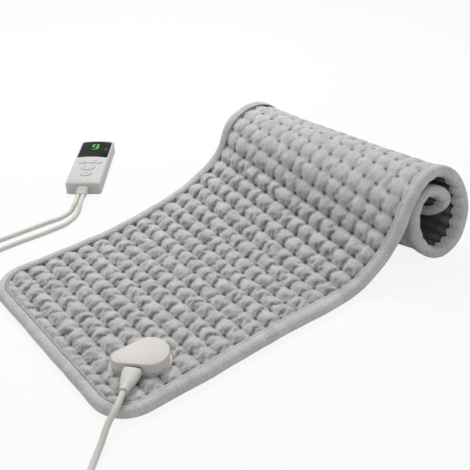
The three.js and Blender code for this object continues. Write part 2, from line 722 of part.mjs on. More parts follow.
function connectorLid() {
  const cover = loft([
    puckRing(0, LID_BOTTOM),
    puckRing(0, PUCK_TOP - PUCK_EDGE),
    puckRing(-PUCK_EDGE / 3, PUCK_TOP - PUCK_EDGE / 3),
    puckRing(-PUCK_EDGE, PUCK_TOP),
  ]);
  const ceiling = PUCK_TOP - PUCK_LID_TOP;
  const lipTop = ceiling + FIT;
  const lipOutside = -PUCK_WALL - FIT;
  const lip = cut(
    puckSolid(lipOutside, LID_BOTTOM - PUCK_LID_LIP, lipTop),
    puckSolid(lipOutside - PUCK_LID_WALL, LID_BOTTOM - PUCK_LID_LIP, lipTop),
    plugOpening(SOCKET_DEPTH, LID_BOTTOM - PUCK_LID_LIP, LID_BOTTOM),
  );
  const posts = puckPosts().map((at) => {
    const height = lipTop - PUCK_FLOOR - FIT;
    const post = rodSolid(PUCK_POST_RADIUS, height, at.x, at.y, PUCK_FLOOR + FIT);
    return post.subtract(rodSolid(PUCK_SCREW_RADIUS + FIT, PUCK_SCREW_LENGTH, at.x, at.y, PUCK_FLOOR));
  });
  const shell = solidOf(cover).subtract(puckSolid(-PUCK_WALL, LID_BOTTOM, ceiling));
  return geometryOf(joined(shell, lip, ...posts));
}

function connectorScrew(at) {
  const head = rodSolid(PUCK_HEAD_RADIUS, PUCK_HEAD_HEIGHT, at.x, at.y, PUCK_HEAD_RECESS);
  const shankBottom = PUCK_HEAD_RECESS + PUCK_HEAD_HEIGHT / 2;
  const shank = rodSolid(PUCK_SCREW_RADIUS, PUCK_SCREW_LENGTH, at.x, at.y, shankBottom);
  return geometryOf(head.add(shank));
}

// A rod along the plug's axis
function axialRod(radius, from, to, y) {
  const rod = new THREE.CylinderGeometry(radius, radius, to - from, ROD_SIDES);
  return solidOf(rod.rotateZ(Math.PI / 2).translate((from + to) / 2, y, PLUG_Z));
}

const pinPlaces = [PLUG_Y - PIN_SPACING / 2, PLUG_Y + PIN_SPACING / 2];
const SLEEVE_BORE = PIN_RADIUS + FIT;
const SLEEVE_RADIUS = SLEEVE_BORE + SLEEVE_WALL;

function socketBlock() {
  const bottom = PUCK_FLOOR + FIT;
  const block = boxSolid(SOCKET_DEPTH, SOCKET_WIDTH, SOCKET_HEIGHT, SOCKET_DEPTH / 2, PLUG_Y, bottom);
  const seatBottom = SOCKET_DEPTH - PIN_ROOT - FIT;
  const seats = pinPlaces.map((y) => axialRod(PIN_RADIUS + FIT, seatBottom, SOCKET_DEPTH, y));
  return geometryOf(cut(block, ...seats));
}

function socketPin(y) {
  return geometryOf(axialRod(PIN_RADIUS, SOCKET_DEPTH - PIN_ROOT, SOCKET_DEPTH + PIN_REACH, y));
}

function feedWires() {
  const bottom = WIRE_BOTTOM - PUCK_BOTTOM;
  const riser = rodSolid(FEED_RADIUS, PLUG_Z + FEED_RADIUS - bottom, FEED_X, PLUG_Y, bottom);
  return geometryOf(riser.add(axialRod(FEED_RADIUS, FEED_X, -FIT, PLUG_Y)));
}

function leadPlug() {
  const middle = PLUG_FACE + PLUG_LENGTH / 2;
  const block = boxSolid(PLUG_LENGTH, PLUG_WIDTH, PLUG_HEIGHT, middle, PLUG_Y, PLUG_Z - PLUG_HEIGHT / 2);
  const depth = SLEEVE_LENGTH + 2 * FIT;
  const seats = pinPlaces.map((y) => axialRod(SLEEVE_RADIUS + FIT, PLUG_FACE - FIT, PLUG_FACE + depth, y));
  return geometryOf(cut(block, ...seats));
}

function plugSleeve(y) {
  const [from, to] = [PLUG_FACE + FIT, PLUG_FACE + FIT + SLEEVE_LENGTH];
  return geometryOf(cut(axialRod(SLEEVE_RADIUS, from, to, y), axialRod(SLEEVE_BORE, from, to, y)));
}

const BOOT_START = PLUG_FACE + PLUG_LENGTH + FIT;
const BOOT_END = BOOT_START + BOOT_LENGTH;

// A ring round the plug's axis that goes from a rounded box to a circle as it is made rounder
function bootRing(x, width, height, roundness) {
  return evenly(0, 2 * Math.PI, BOOT_SIDES).slice(0, -1).map((angle) => {
    const [c, s] = [Math.cos(angle), Math.sin(angle)];
    const y = (Math.sign(c) * Math.abs(c) ** roundness * width) / 2;
    const z = (Math.sign(s) * Math.abs(s) ** roundness * height) / 2;
    return new THREE.Vector3(x, PLUG_Y + y, PLUG_Z + z);
  });
}

function leadBoot() {
  const neck = BOOT_END - BOOT_COLLAR_LENGTH;
  const tip = BOOT_COLLAR_DIAMETER - 2 * BOOT_COLLAR_STEP;
  const taper = evenly(0, 1, 5).map((t) => bootRing(
    BOOT_START + t * (neck - BOOT_START),
    THREE.MathUtils.lerp(BOOT_ROOT_WIDTH, tip, t ** BOOT_TAPER_POWER),
    THREE.MathUtils.lerp(BOOT_ROOT_HEIGHT, tip, t ** BOOT_TAPER_POWER),
    THREE.MathUtils.lerp(BOOT_ROOT_ROUNDNESS, 1, t),
  ));
  const collar = [neck, BOOT_END].map((x) => bootRing(x, BOOT_COLLAR_DIAMETER, BOOT_COLLAR_DIAMETER, 1));
  return loft([...taper, ...collar]);
}

// Cords follow hand-chosen points on the floor
function cord(points) {
  const path = new THREE.CatmullRomCurve3(points, false, 'centripetal');
  const section = new THREE.Shape(evenly(0, 2 * Math.PI, CORD_SIDES).slice(0, -1).map((angle) => (
    new THREE.Vector2(Math.cos(angle), Math.sin(angle)).multiplyScalar(CORD_DIAMETER / 2)
  )));
  const steps = Math.max(Math.round(path.getLength() / CORD_STEP), 2);
  const tube = new THREE.ExtrudeGeometry(section, { steps, extrudePath: path, bevelEnabled: false });
  tube.deleteAttribute('normal');
  tube.deleteAttribute('uv');
  const welded = mergeVertices(tube, 1e-3);
  return facingOut([...welded.attributes.position.array], [...welded.index.array]);
}

const FLOOR_Z = CORD_DIAMETER / 2;

function onFloor(list) {
  return list.map(([x, y, z = FLOOR_Z]) => new THREE.Vector3(x, y, z));
}

function turned(x, y, z, degrees, shift) {
  const up = new THREE.Vector3(0, 0, 1);
  const at = new THREE.Vector3(x, y, z).applyAxisAngle(up, THREE.MathUtils.degToRad(degrees));
  return at.add(shift);
}

function fromPuck(x) {
  return turned(x, PLUG_Y, PLUG_Z, PUCK_TURN_DEG, new THREE.Vector3(PUCK_X, PUCK_Y, PUCK_BOTTOM));
}

function fromCase(x, y) {
  return turned(x, y, RELIEF_Z, CASE_TURN_DEG, new THREE.Vector3(CASE_X, CASE_Y, 0));
}

const RELIEF_END = CASE_LENGTH / 2 + FIT + RELIEF_LENGTH;

function intoRelief(x) {
  return [2, 1, 0].map((k) => fromCase(x, -RELIEF_END - FIT - k * CORD_STRAIGHT));
}

function padLead() {
  const route = [
    [-167, -147, 12.8], [-180, -156.8, 7.2], [-192.3, -166.2, 4], [-206, -178], [-225, -193.5], [-247, -205.5],
    [-272, -211], [-297, -205], [-315, -190], [-325, -166], [-326, -138], [-320, -105], [-306, -62],
    [-290, -15], [-273, 35], [-255, 85], [-234, 132], [-206, 172], [-172, 199], [-132, 212], [-90, 214],
    [-50, 213], [-15, 216], [8, 229, 4.6],
  ];
  return cord([
    ...[0, 1, 2].map((k) => fromPuck(BOOT_END + FIT + k * CORD_STRAIGHT)),
    ...onFloor(route),
    ...intoRelief(CORD_SPACING / 2),
  ]);
}

// The coil winds in on its lower layer and out again on its upper layer
const COIL_Y = COIL_RUN_Y + COIL_OUTER_RADIUS;
const COIL_LOW = TIE_THICKNESS + TIE_GAP + CORD_DIAMETER / 2;
const COIL_HIGH = COIL_LOW + COIL_PITCH;

function mainsLead() {
  const route = [
    [3, 239.5, 4.8], [-14, 234.5], [-40, COIL_RUN_Y], [-70, COIL_RUN_Y], [-100, COIL_RUN_Y],
    [-130, COIL_RUN_Y, 4.2],
  ];
  return cord([
    ...intoRelief(-CORD_SPACING / 2).reverse(),
    ...onFloor(route),
    new THREE.Vector3(COIL_X + CORD_DIAMETER + FIT, COIL_RUN_Y, COIL_LOW),
  ]);
}

function coilPlace(turns) {
  const radius = COIL_OUTER_RADIUS - COIL_PITCH * Math.min(turns, COIL_TURNS - turns);
  const angle = -Math.PI / 2 - 2 * Math.PI * turns;
  const climbFrom = (COIL_TURNS - COIL_CLIMB_TURNS) / 2;
  const climb = THREE.MathUtils.smoothstep(turns, climbFrom, climbFrom + COIL_CLIMB_TURNS);
  const z = COIL_LOW + climb * (COIL_HIGH - COIL_LOW);
  const outward = new THREE.Vector3(Math.cos(angle), Math.sin(angle), 0);
  return { outward, at: outward.clone().multiplyScalar(radius).add(new THREE.Vector3(COIL_X, COIL_Y, z)) };
}

function mainsCoil() {
  const stations = evenly(0, COIL_TURNS, COIL_TURNS * COIL_STEPS).map(coilPlace);
  const straight = ({ outward, at }, shift) => (
    { outward, at: at.clone().add(new THREE.Vector3(shift, 0, 0)) }
  );
  const whole = [
    straight(stations[0], CORD_DIAMETER),
    ...stations,
    straight(stations[stations.length - 1], -CORD_DIAMETER),
  ];
  const rings = whole.map(({ outward, at }) => evenly(0, 2 * Math.PI, COIL_SIDES).slice(0, -1).map((angle) => {
    const side = outward.clone().multiplyScalar(Math.cos(angle));
    return side.add(new THREE.Vector3(0, 0, Math.sin(angle))).multiplyScalar(CORD_DIAMETER / 2).add(at);
  }));
  return loft(rings);
}

// The band goes round all loops where they pass on the far side
function cordTie() {
  const first = coilPlace(0.5).at.y - COIL_Y;
  const loops = Math.floor(COIL_TURNS / 2);
  const width = (loops - 1) * COIL_PITCH + CORD_DIAMETER + 2 * TIE_SIDE_GAP;
  const middle = COIL_Y + first - ((loops - 1) * COIL_PITCH) / 2;
  const height = COIL_HIGH + CORD_DIAMETER / 2 + TIE_GAP - TIE_THICKNESS;
  const band = boxSolid(TIE_WIDTH, width + 2 * TIE_THICKNESS, height + 2 * TIE_THICKNESS, COIL_X, middle, 0);
  return geometryOf(band.subtract(boxSolid(2 * TIE_WIDTH, width, height, COIL_X, middle, TIE_THICKNESS)));
}

const TAIL_START = COIL_X - CORD_DIAMETER - FIT;
const TAIL_END = TAIL_START - TAIL_LENGTH;
const MAINS_Z = MAINS_BODY_HEIGHT / 2;
const MAINS_BOOT_START = TAIL_END - FIT;
const MAINS_BODY_START = MAINS_BOOT_START - MAINS_BOOT_LENGTH - FIT;

function mainsTail() {
  const bends = [[0, COIL_HIGH], [0.35, COIL_HIGH], [0.7, MAINS_Z], [1, MAINS_Z]];
  return cord(bends.map(([t, z]) => new THREE.Vector3(TAIL_START - t * TAIL_LENGTH, COIL_RUN_Y, z)));
}

function plugBoot() {
  const ring = (x, diameter) => evenly(0, 2 * Math.PI, BOOT_SIDES).slice(0, -1).map((angle) => (
    new THREE.Vector3(0, Math.cos(angle), Math.sin(angle)).multiplyScalar(diameter / 2)
      .add(new THREE.Vector3(x, COIL_RUN_Y, MAINS_Z))
  ));
  return loft([
    ring(MAINS_BOOT_START, MAINS_BOOT_TIP),
    ring(MAINS_BOOT_START - MAINS_BOOT_LENGTH, MAINS_BOOT_ROOT),
  ]);
}

const bladePlaces = [COIL_RUN_Y - BLADE_SPACING / 2, COIL_RUN_Y + BLADE_SPACING / 2];

function bladeSolid(y, grow) {
  const length = BLADE_LENGTH + BLADE_ROOT + grow;
  const x = MAINS_BODY_START - MAINS_BODY_LENGTH + BLADE_ROOT + grow - length / 2;
  const height = BLADE_WIDTH + 2 * grow;
  return boxSolid(length, BLADE_THICKNESS + 2 * grow, height, x, y, MAINS_Z - height / 2);
}

function plugBody() {
  const outline = roundedRectangle(MAINS_BODY_LENGTH, MAINS_BODY_WIDTH, MAINS_BODY_CORNER);
  const block = raised(outline, 0, MAINS_BODY_HEIGHT, 4)
    .translate([MAINS_BODY_START - MAINS_BODY_LENGTH / 2, COIL_RUN_Y, 0]);
  return geometryOf(cut(block, ...bladePlaces.map((y) => bladeSolid(y, FIT))));
}

// Controller, in its own frame
const FRONT_BOTTOM = CASE_SPLIT + FIT;
const BOARD_TOP = BOARD_HEIGHT + BOARD_THICKNESS;
const PARTS_BOTTOM = BOARD_TOP + FIT;
const SWITCH_TOP = PARTS_BOTTOM + SWITCH_HEIGHT + SWITCH_PLUNGER_HEIGHT;
const CASE_TAIL = -CASE_LENGTH / 2;
const ROCKER_Y = CASE_TAIL + ROCKER_FROM_TAIL;
const ROCKER_LENGTH = CASE_WIDTH - 2 * ROCKER_FROM_SIDE;
const ROCKER_STEM_X = ROCKER_LENGTH / 2 - ROCKER_STEM_FROM_END;
const MODE_Y = CASE_TAIL + MODE_FROM_TAIL;
const POWER_Y = CASE_TAIL + POWER_FROM_TAIL;
const LENS_WIDTH = CASE_WIDTH - 2 * LENS_SIDE_MARGIN;
const LENS_LENGTH = CASE_LENGTH - LENS_HEAD_MARGIN - LENS_FROM_TAIL;
const LENS_Y = CASE_TAIL + LENS_FROM_TAIL + LENS_LENGTH / 2;
const SCREW_X = CASE_WIDTH / 2 - SCREW_FROM_SIDE;
const SCREW_Y = CASE_LENGTH / 2 - SCREW_FROM_END;
const screwPlaces = [[1, 1], [-1, 1], [-1, -1], [1, -1]].map(([x, y]) => [x * SCREW_X, y * SCREW_Y]);

function caseRing(inset, z) {
  const corner = CASE_CORNER - Math.min(inset, CASE_EDGE);
  const outline = roundedRectangle(CASE_WIDTH - 2 * inset, CASE_LENGTH - 2 * inset, corner);
  return outline.getPoints(4).slice(0, -1).map((p) => new THREE.Vector3(p.x, p.y, z));
}

function crownHeight(x) {
  return CASE_SIDE_HEIGHT + CASE_CROWN * (1 - ((2 * x) / CASE_WIDTH) ** 2);
}

// Everything under the curved front, which is moved up or down by an offset
function underCrown(offset) {
  const curve = evenly(-CASE_WIDTH / 2 - CASE_WALL, CASE_WIDTH / 2 + CASE_WALL, CROWN_STEPS);
  const shape = new THREE.Shape([
    new THREE.Vector2(curve[CROWN_STEPS], 0),
    ...curve.map((x) => new THREE.Vector2(x, crownHeight(x) + offset)).reverse(),
    new THREE.Vector2(curve[0], 0),
  ]);
  const bar = new THREE.ExtrudeGeometry(shape, { depth: 2 * CASE_LENGTH, bevelEnabled: false });
  return solidOf(bar.rotateX(Math.PI / 2).translate(0, CASE_LENGTH, 0));
}

function neckOpening(bottom, top) {
  return boxSolid(NECK_WIDTH + 2 * FIT, 4 * CASE_WALL, top - bottom, 0, -CASE_LENGTH / 2, bottom);
}

function controllerBack() {
  const outside = solidOf(loft([
    caseRing(CASE_EDGE / 2, 0),
    caseRing(0, CASE_EDGE / 2),
    caseRing(0, CASE_SPLIT),
  ]));
  const inside = solidOf(loft([caseRing(CASE_WALL, CASE_WALL), caseRing(CASE_WALL, CASE_TOP + CASE_SPLIT)]));
  const postHeight = BOARD_HEIGHT - FIT - CASE_WALL / 2;
  const posts = screwPlaces.map(([x, y]) => rodSolid(POST_RADIUS, postHeight, x, y, CASE_WALL / 2));
  const recess = SCREW_RECESS + SCREW_HEAD_HEIGHT + FIT;
  const holes = screwPlaces.flatMap(([x, y]) => [
    rodSolid(SCREW_HEAD_RADIUS + FIT, recess, x, y, 0),
    rodSolid(SCREW_RADIUS + FIT, CASE_SPLIT, x, y, 0),
  ]);
  const opening = neckOpening(RELIEF_Z - NECK_HEIGHT / 2 - FIT, CASE_SPLIT + FIT);
  return geometryOf(cut(joined(outside.subtract(inside), ...posts), opening, ...holes));
}

function lensOutline(grow) {
  const corner = Math.max(LENS_CORNER + grow, 1);
  const [width, length] = [LENS_WIDTH + 2 * grow, LENS_LENGTH + 2 * grow];
  return roundedBlock(width, length, corner, 0, LENS_Y, FRONT_BOTTOM, 2 * CASE_SIDE_HEIGHT);
}

function rockerOutline(grow, bottom, top) {
  const radius = ROCKER_WIDTH / 2 + grow;
  return roundedBlock(ROCKER_LENGTH + 2 * grow, 2 * radius, radius - END_FLAT, 0, ROCKER_Y, bottom, top);
}

function controllerFront() {
  const outside = solidOf(loft([
    caseRing(0, FRONT_BOTTOM),
    caseRing(0, CASE_SIDE_HEIGHT - CASE_EDGE),
    caseRing(CASE_EDGE / 3, CASE_SIDE_HEIGHT - CASE_EDGE / 4),
    caseRing(CASE_EDGE, CASE_SIDE_HEIGHT + CASE_EDGE / 4),
    caseRing(3 * CASE_EDGE, CASE_SIDE_HEIGHT + CASE_CROWN + FIT),
  ])).intersect(underCrown(0));
  const inside = solidOf(loft([caseRing(CASE_WALL, CASE_SPLIT), caseRing(CASE_WALL, 2 * CASE_SIDE_HEIGHT)]));
  const shell = cut(
    outside,
    inside.intersect(underCrown(-CASE_TOP)),
    lensOutline(FIT).subtract(underCrown(-LENS_THICKNESS - FIT)),
    lensOutline(-WINDOW_LEDGE),
    rockerOutline(KEY_CLEARANCE, FRONT_BOTTOM, 2 * CASE_SIDE_HEIGHT),
    rodSolid(MODE_RADIUS + KEY_CLEARANCE, CASE_SIDE_HEIGHT, 0, MODE_Y, FRONT_BOTTOM, KEY_SIDES),
    rodSolid(POWER_RADIUS + KEY_CLEARANCE, CASE_SIDE_HEIGHT, 0, POWER_Y, FRONT_BOTTOM, KEY_SIDES),
    neckOpening(FRONT_BOTTOM - FIT, RELIEF_Z + NECK_HEIGHT / 2 + FIT),
  );
  const posts = screwPlaces.map(([x, y]) => {
    const post = rodSolid(POST_RADIUS, POST_TOP - PARTS_BOTTOM, x, y, PARTS_BOTTOM);
    return post.subtract(rodSolid(SCREW_RADIUS + FIT, POST_BORE_TOP - PARTS_BOTTOM, x, y, PARTS_BOTTOM));
  });
  return geometryOf(joined(shell, ...posts));
}

function caseScrew([x, y]) {
  const head = rodSolid(SCREW_HEAD_RADIUS, SCREW_HEAD_HEIGHT, x, y, SCREW_RECESS);
  const inHead = SCREW_HEAD_HEIGHT / 2;
  const shank = rodSolid(SCREW_RADIUS, SCREW_LENGTH + inHead, x, y, SCREW_RECESS + inHead);
  return geometryOf(head.add(shank));
}

function circuitBoard() {
  const width = CASE_WIDTH - 2 * (CASE_WALL + BOARD_SIDE_GAP);
  const length = CASE_LENGTH - 2 * CASE_WALL - BOARD_HEAD_GAP - BOARD_TAIL_GAP;
  const middle = (BOARD_TAIL_GAP - BOARD_HEAD_GAP) / 2;
  const board = boxSolid(width, length, BOARD_THICKNESS, 0, middle, BOARD_HEIGHT);
  const holes = screwPlaces.map(([x, y]) => rodSolid(SCREW_RADIUS + FIT, BOARD_THICKNESS, x, y, BOARD_HEIGHT));
  return geometryOf(cut(board, ...holes));
}

function displayLens() {
  return geometryOf(lensOutline(0).intersect(underCrown(0)).subtract(underCrown(-LENS_THICKNESS)));
}

function displayModule() {
  const width = LENS_WIDTH - 2 * DISPLAY_MARGIN;
  const length = LENS_LENGTH - 2 * DISPLAY_MARGIN;
  return geometryOf(boxSolid(width, length, DISPLAY_HEIGHT, 0, LENS_Y, PARTS_BOTTOM));
}

function powerRelay() {
  const y = CASE_TAIL + RELAY_FROM_TAIL;
  return geometryOf(boxSolid(RELAY_WIDTH, RELAY_LENGTH, RELAY_HEIGHT, 0, y, PARTS_BOTTOM));
}

function keySwitch(x, y) {
  const housing = boxSolid(SWITCH_SIZE, SWITCH_SIZE, SWITCH_HEIGHT, x, y, PARTS_BOTTOM);
  const top = PARTS_BOTTOM + SWITCH_HEIGHT / 2;
  return geometryOf(housing.add(rodSolid(SWITCH_PLUNGER_RADIUS, SWITCH_TOP - top, x, y, top)));
}

function keyStem(x, y) {
  const bottom = SWITCH_TOP + KEY_GAP;
  return rodSolid(STEM_RADIUS, KEY_BOTTOM + KEY_EAR_THICKNESS - bottom, x, y, bottom);
}

// Ears lie under the front and keep the key from falling out
function roundKey(radius, y) {
  const reach = radius + KEY_EAR;
  const earTop = crownHeight(reach) - CASE_TOP - KEY_EAR_DROP;
  const ears = boxSolid(2 * reach, KEY_EAR_WIDTH, KEY_EAR_THICKNESS, 0, y, earTop - KEY_EAR_THICKNESS);
  const cap = rodSolid(radius, CASE_SIDE_HEIGHT, 0, y, KEY_BOTTOM, KEY_SIDES).intersect(underCrown(KEY_PROUD));
  return geometryOf(joined(cap, ears, keyStem(0, y)));
}

function levelRocker() {
  const tabTop = crownHeight(KEY_EAR_WIDTH) - CASE_TOP - 2 * KEY_EAR_DROP;
  const tabLength = ROCKER_WIDTH + 2 * KEY_EAR;
  const tabs = boxSolid(KEY_EAR_WIDTH, tabLength, KEY_EAR_THICKNESS, 0, ROCKER_Y, tabTop - KEY_EAR_THICKNESS);
  const cap = rockerOutline(0, KEY_BOTTOM, 2 * CASE_SIDE_HEIGHT).intersect(underCrown(KEY_PROUD));
  return geometryOf(joined(cap, tabs, keyStem(ROCKER_STEM_X, ROCKER_Y), keyStem(-ROCKER_STEM_X, ROCKER_Y)));
}

function cordRelief() {
  const ring = (width, height, y) => roundedRectangle(width, height, height / 3).getPoints(2).slice(0, -1)
    .map((p) => new THREE.Vector3(p.x, y, RELIEF_Z + p.y));
  const start = -CASE_LENGTH / 2 - FIT;
  const step = RELIEF_LENGTH / (2 * RELIEF_RIBS - 1);
  const rings = evenly(0, 2 * RELIEF_RIBS - 2, 2 * RELIEF_RIBS - 2).flatMap((k) => {
    const shrink = (k % 2 === 0 ? 0 : RELIEF_GROOVE) + (RELIEF_TAPER * k) / RELIEF_RIBS;
    const at = (y) => ring(RELIEF_WIDTH - shrink, RELIEF_HEIGHT - shrink, y);
    return [at(start - k * step), at(start - (k + 1) * step)];
  });
  const inner = CASE_WALL + FIT + NECK_FLANGE_THICKNESS;
  const neckLength = 3 * FIT + inner;
  const neckMiddle = -CASE_LENGTH / 2 + inner - neckLength / 2;
  const neck = boxSolid(NECK_WIDTH, neckLength, NECK_HEIGHT, 0, neckMiddle, RELIEF_Z - NECK_HEIGHT / 2);
  const flangeHeight = NECK_HEIGHT + 2 * NECK_FLANGE;
  const flangeY = -CASE_LENGTH / 2 + inner - NECK_FLANGE_THICKNESS / 2;
  const flange = boxSolid(
    NECK_WIDTH + 2 * NECK_FLANGE, NECK_FLANGE_THICKNESS, flangeHeight, 0, flangeY, RELIEF_Z - flangeHeight / 2,
  );
  return geometryOf(joined(solidOf(loft(rings)), neck, flange));
}

// Assembly
place(model, 'pad_top_cover', padTopCover(), PLUSH);
place(model, 'pad_bottom_cover', padBottomCover(), PLUSH);
place(model, 'heating_carrier', heatingCarrier(), FELT);
place(model, 'heating_wire', heatingWire(), WIRE);
place(model, 'thermal_cutout', thermalCutout(), DARK);
place(model, 'edge_binding', edgeBinding(), PLUSH);

const puck = new THREE.Group();
puck.position.set(PUCK_X, PUCK_Y, PUCK_BOTTOM);
puck.rotation.z = puckTurn;
model.add(puck);
place(puck, 'connector_base', connectorBase(), OFF_WHITE);
place(puck, 'connector_lid', connectorLid(), OFF_WHITE);
puckPosts().forEach((at, i) => place(puck, `connector_screw_${i + 1}`, connectorScrew(at), STEEL));
place(puck, 'socket_block', socketBlock(), DARK);
pinPlaces.forEach((y, i) => place(puck, `socket_pin_${i + 1}`, socketPin(y), BRASS));
place(puck, 'feed_wires', feedWires(), CORD_WHITE);
place(puck, 'lead_plug', leadPlug(), OFF_WHITE);
pinPlaces.forEach((y, i) => place(puck, `plug_sleeve_${i + 1}`, plugSleeve(y), BRASS));
place(puck, 'lead_boot', leadBoot(), CORD_WHITE);

place(model, 'pad_lead', padLead(), CORD_WHITE);

const controller = new THREE.Group();
controller.position.set(CASE_X, CASE_Y, 0);
controller.rotation.z = THREE.MathUtils.degToRad(CASE_TURN_DEG);
model.add(controller);
place(controller, 'controller_back', controllerBack(), CASE_WHITE);
place(controller, 'controller_front', controllerFront(), CASE_WHITE);
screwPlaces.forEach((at, i) => place(controller, `case_screw_${i + 1}`, caseScrew(at), STEEL));
place(controller, 'display_lens', displayLens(), LENS_BLACK);
place(controller, 'display_module', displayModule(), DARK);
place(controller, 'circuit_board', circuitBoard(), BOARD_GREEN);
place(controller, 'power_relay', powerRelay(), DARK);
place(controller, 'key_switch_up', keySwitch(-ROCKER_STEM_X, ROCKER_Y), DARK);
place(controller, 'key_switch_down', keySwitch(ROCKER_STEM_X, ROCKER_Y), DARK);
place(controller, 'key_switch_mode', keySwitch(0, MODE_Y), DARK);
place(controller, 'key_switch_power', keySwitch(0, POWER_Y), DARK);
place(controller, 'level_rocker', levelRocker(), CASE_WHITE);
place(controller, 'mode_button', roundKey(MODE_RADIUS, MODE_Y), CASE_WHITE);
place(controller, 'power_button', roundKey(POWER_RADIUS, POWER_Y), CASE_WHITE);
place(controller, 'cord_relief', cordRelief(), CASE_WHITE);

place(model, 'mains_lead', mainsLead(), CORD_WHITE);
place(model, 'mains_coil', mainsCoil(), CORD_WHITE);
place(model, 'cord_tie', cordTie(), DARK);
place(model, 'mains_tail', mainsTail(), CORD_WHITE);
place(model, 'plug_boot', plugBoot(), CORD_WHITE);
place(model, 'plug_body', plugBody(), CORD_WHITE);
bladePlaces.forEach((y, i) => place(model, `plug_blade_${i + 1}`, geometryOf(bladeSolid(y, 0)), BRASS));

export default model;
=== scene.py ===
# %% [markdown]
# # A quilted heating pad with its hand controller
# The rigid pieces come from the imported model, in metres, and each soft piece is made anew here: the
# quilted cover, the cover below it, the folded binding, its stitches and the cords. Each cell makes one
# piece or one finish and prints what it made.

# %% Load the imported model
import json
import math

import bmesh
import bpy
import numpy as np
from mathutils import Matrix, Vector
from mathutils.bvhtree import BVHTree

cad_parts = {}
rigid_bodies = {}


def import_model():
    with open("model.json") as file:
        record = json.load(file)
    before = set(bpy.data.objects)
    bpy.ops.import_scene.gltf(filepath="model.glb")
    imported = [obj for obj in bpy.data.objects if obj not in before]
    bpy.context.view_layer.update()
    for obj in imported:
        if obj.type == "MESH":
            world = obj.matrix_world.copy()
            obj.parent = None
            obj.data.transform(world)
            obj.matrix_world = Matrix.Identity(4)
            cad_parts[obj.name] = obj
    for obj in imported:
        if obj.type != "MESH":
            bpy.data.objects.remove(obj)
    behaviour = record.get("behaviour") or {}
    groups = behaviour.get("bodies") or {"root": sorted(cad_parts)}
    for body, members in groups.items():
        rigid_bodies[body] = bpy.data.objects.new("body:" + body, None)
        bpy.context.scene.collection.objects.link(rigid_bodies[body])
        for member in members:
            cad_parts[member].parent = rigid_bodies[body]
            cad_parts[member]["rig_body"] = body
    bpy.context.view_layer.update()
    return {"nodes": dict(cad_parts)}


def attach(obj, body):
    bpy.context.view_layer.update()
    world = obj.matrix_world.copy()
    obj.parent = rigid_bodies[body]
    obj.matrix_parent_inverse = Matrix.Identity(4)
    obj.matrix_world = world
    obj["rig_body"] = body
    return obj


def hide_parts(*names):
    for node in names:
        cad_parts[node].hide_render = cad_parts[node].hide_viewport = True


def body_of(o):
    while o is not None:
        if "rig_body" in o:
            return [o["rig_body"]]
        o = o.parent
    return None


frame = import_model()
nodes = frame["nodes"]
MM = 0.001

# %% [markdown]
# ## Camera
# The camera's place and lens were fitted to the pad's dot rows: it looks down on the front corner of the
# pad from the left, with no roll.

# %% Place the camera
CAMERA_PLACE = Vector((-0.3622, -0.5723, 0.5293))
CAMERA_LOOK = Vector((0.534, 0.641, -0.551))
camera_data = bpy.data.cameras.new("photo_camera")
camera_data.lens = 52.78
camera_data.sensor_width = 36
camera = bpy.data.objects.new("photo_camera", camera_data)
camera.location = CAMERA_PLACE
camera.rotation_mode = "QUATERNION"
camera.rotation_quaternion = CAMERA_LOOK.to_track_quat("-Z", "Y")
bpy.context.scene.collection.objects.link(camera)
bpy.context.scene.camera = camera
bpy.context.scene.view_settings.view_transform = "Standard"
print("camera lens", camera_data.lens)

# %% [markdown]
# ## Shared finishes
# Two effects are used by more than one finish, so each is a node group. Short plush is a dense pile whose
# fibres lean in patches, so its colour drifts a little and its surface is finely rough. Moulded plastic
# has a fine spark-eroded grain and a slow drift in gloss. Each group puts out a colour, a value or a
# height, and the shader itself stays in its material.


# %% Make the plush group
def new_group(name, inputs, outputs):
    group = bpy.data.node_groups.new(name, "ShaderNodeTree")
    for label, kind, value in inputs:
        socket = group.interface.new_socket(label, in_out="INPUT", socket_type=kind)
        socket.default_value = value
    for label, kind in outputs:
        group.interface.new_socket(label, in_out="OUTPUT", socket_type=kind)
    return group, group.nodes.new("NodeGroupInput"), group.nodes.new("NodeGroupOutput")


def noise_in(tree, vector, scale, detail=2.0, roughness=0.5):
    node = tree.nodes.new("ShaderNodeTexNoise")
    node.inputs["Detail"].default_value = detail
    node.inputs["Roughness"].default_value = roughness
    tree.links.new(vector, node.inputs["Vector"])
    if isinstance(scale, (int, float)):
        node.inputs["Scale"].default_value = scale
    else:
        tree.links.new(scale, node.inputs["Scale"])
    return node.outputs["Fac"]


def math_in(tree, operation, first, second):
    node = tree.nodes.new("ShaderNodeMath")
    node.operation = operation
    for socket, value in zip(node.inputs, (first, second)):
        if isinstance(value, (int, float)):
            socket.default_value = value
        else:
            tree.links.new(value, socket)
    return node.outputs[0]


def range_in(tree, value, low, high, to_low, to_high):
    node = tree.nodes.new("ShaderNodeMapRange")
    tree.links.new(value, node.inputs["Value"])
    for label, number in (("From Min", low), ("From Max", high), ("To Min", to_low), ("To Max", to_high)):
        if isinstance(number, (int, float)):
            node.inputs[label].default_value = number
        else:
            tree.links.new(number, node.inputs[label])
    return node.outputs["Result"]


def mix_colours(tree, factor, first, second):
    node = tree.nodes.new("ShaderNodeMix")
    node.data_type = "RGBA"
    for label, value in (("Factor", factor), ("A", first), ("B", second)):
        socket = [s for s in node.inputs if s.name == label and s.enabled][0]
        if isinstance(value, (int, float, tuple)):
            socket.default_value = value
        else:
            tree.links.new(value, socket)
    return [s for s in node.outputs if s.enabled][0]


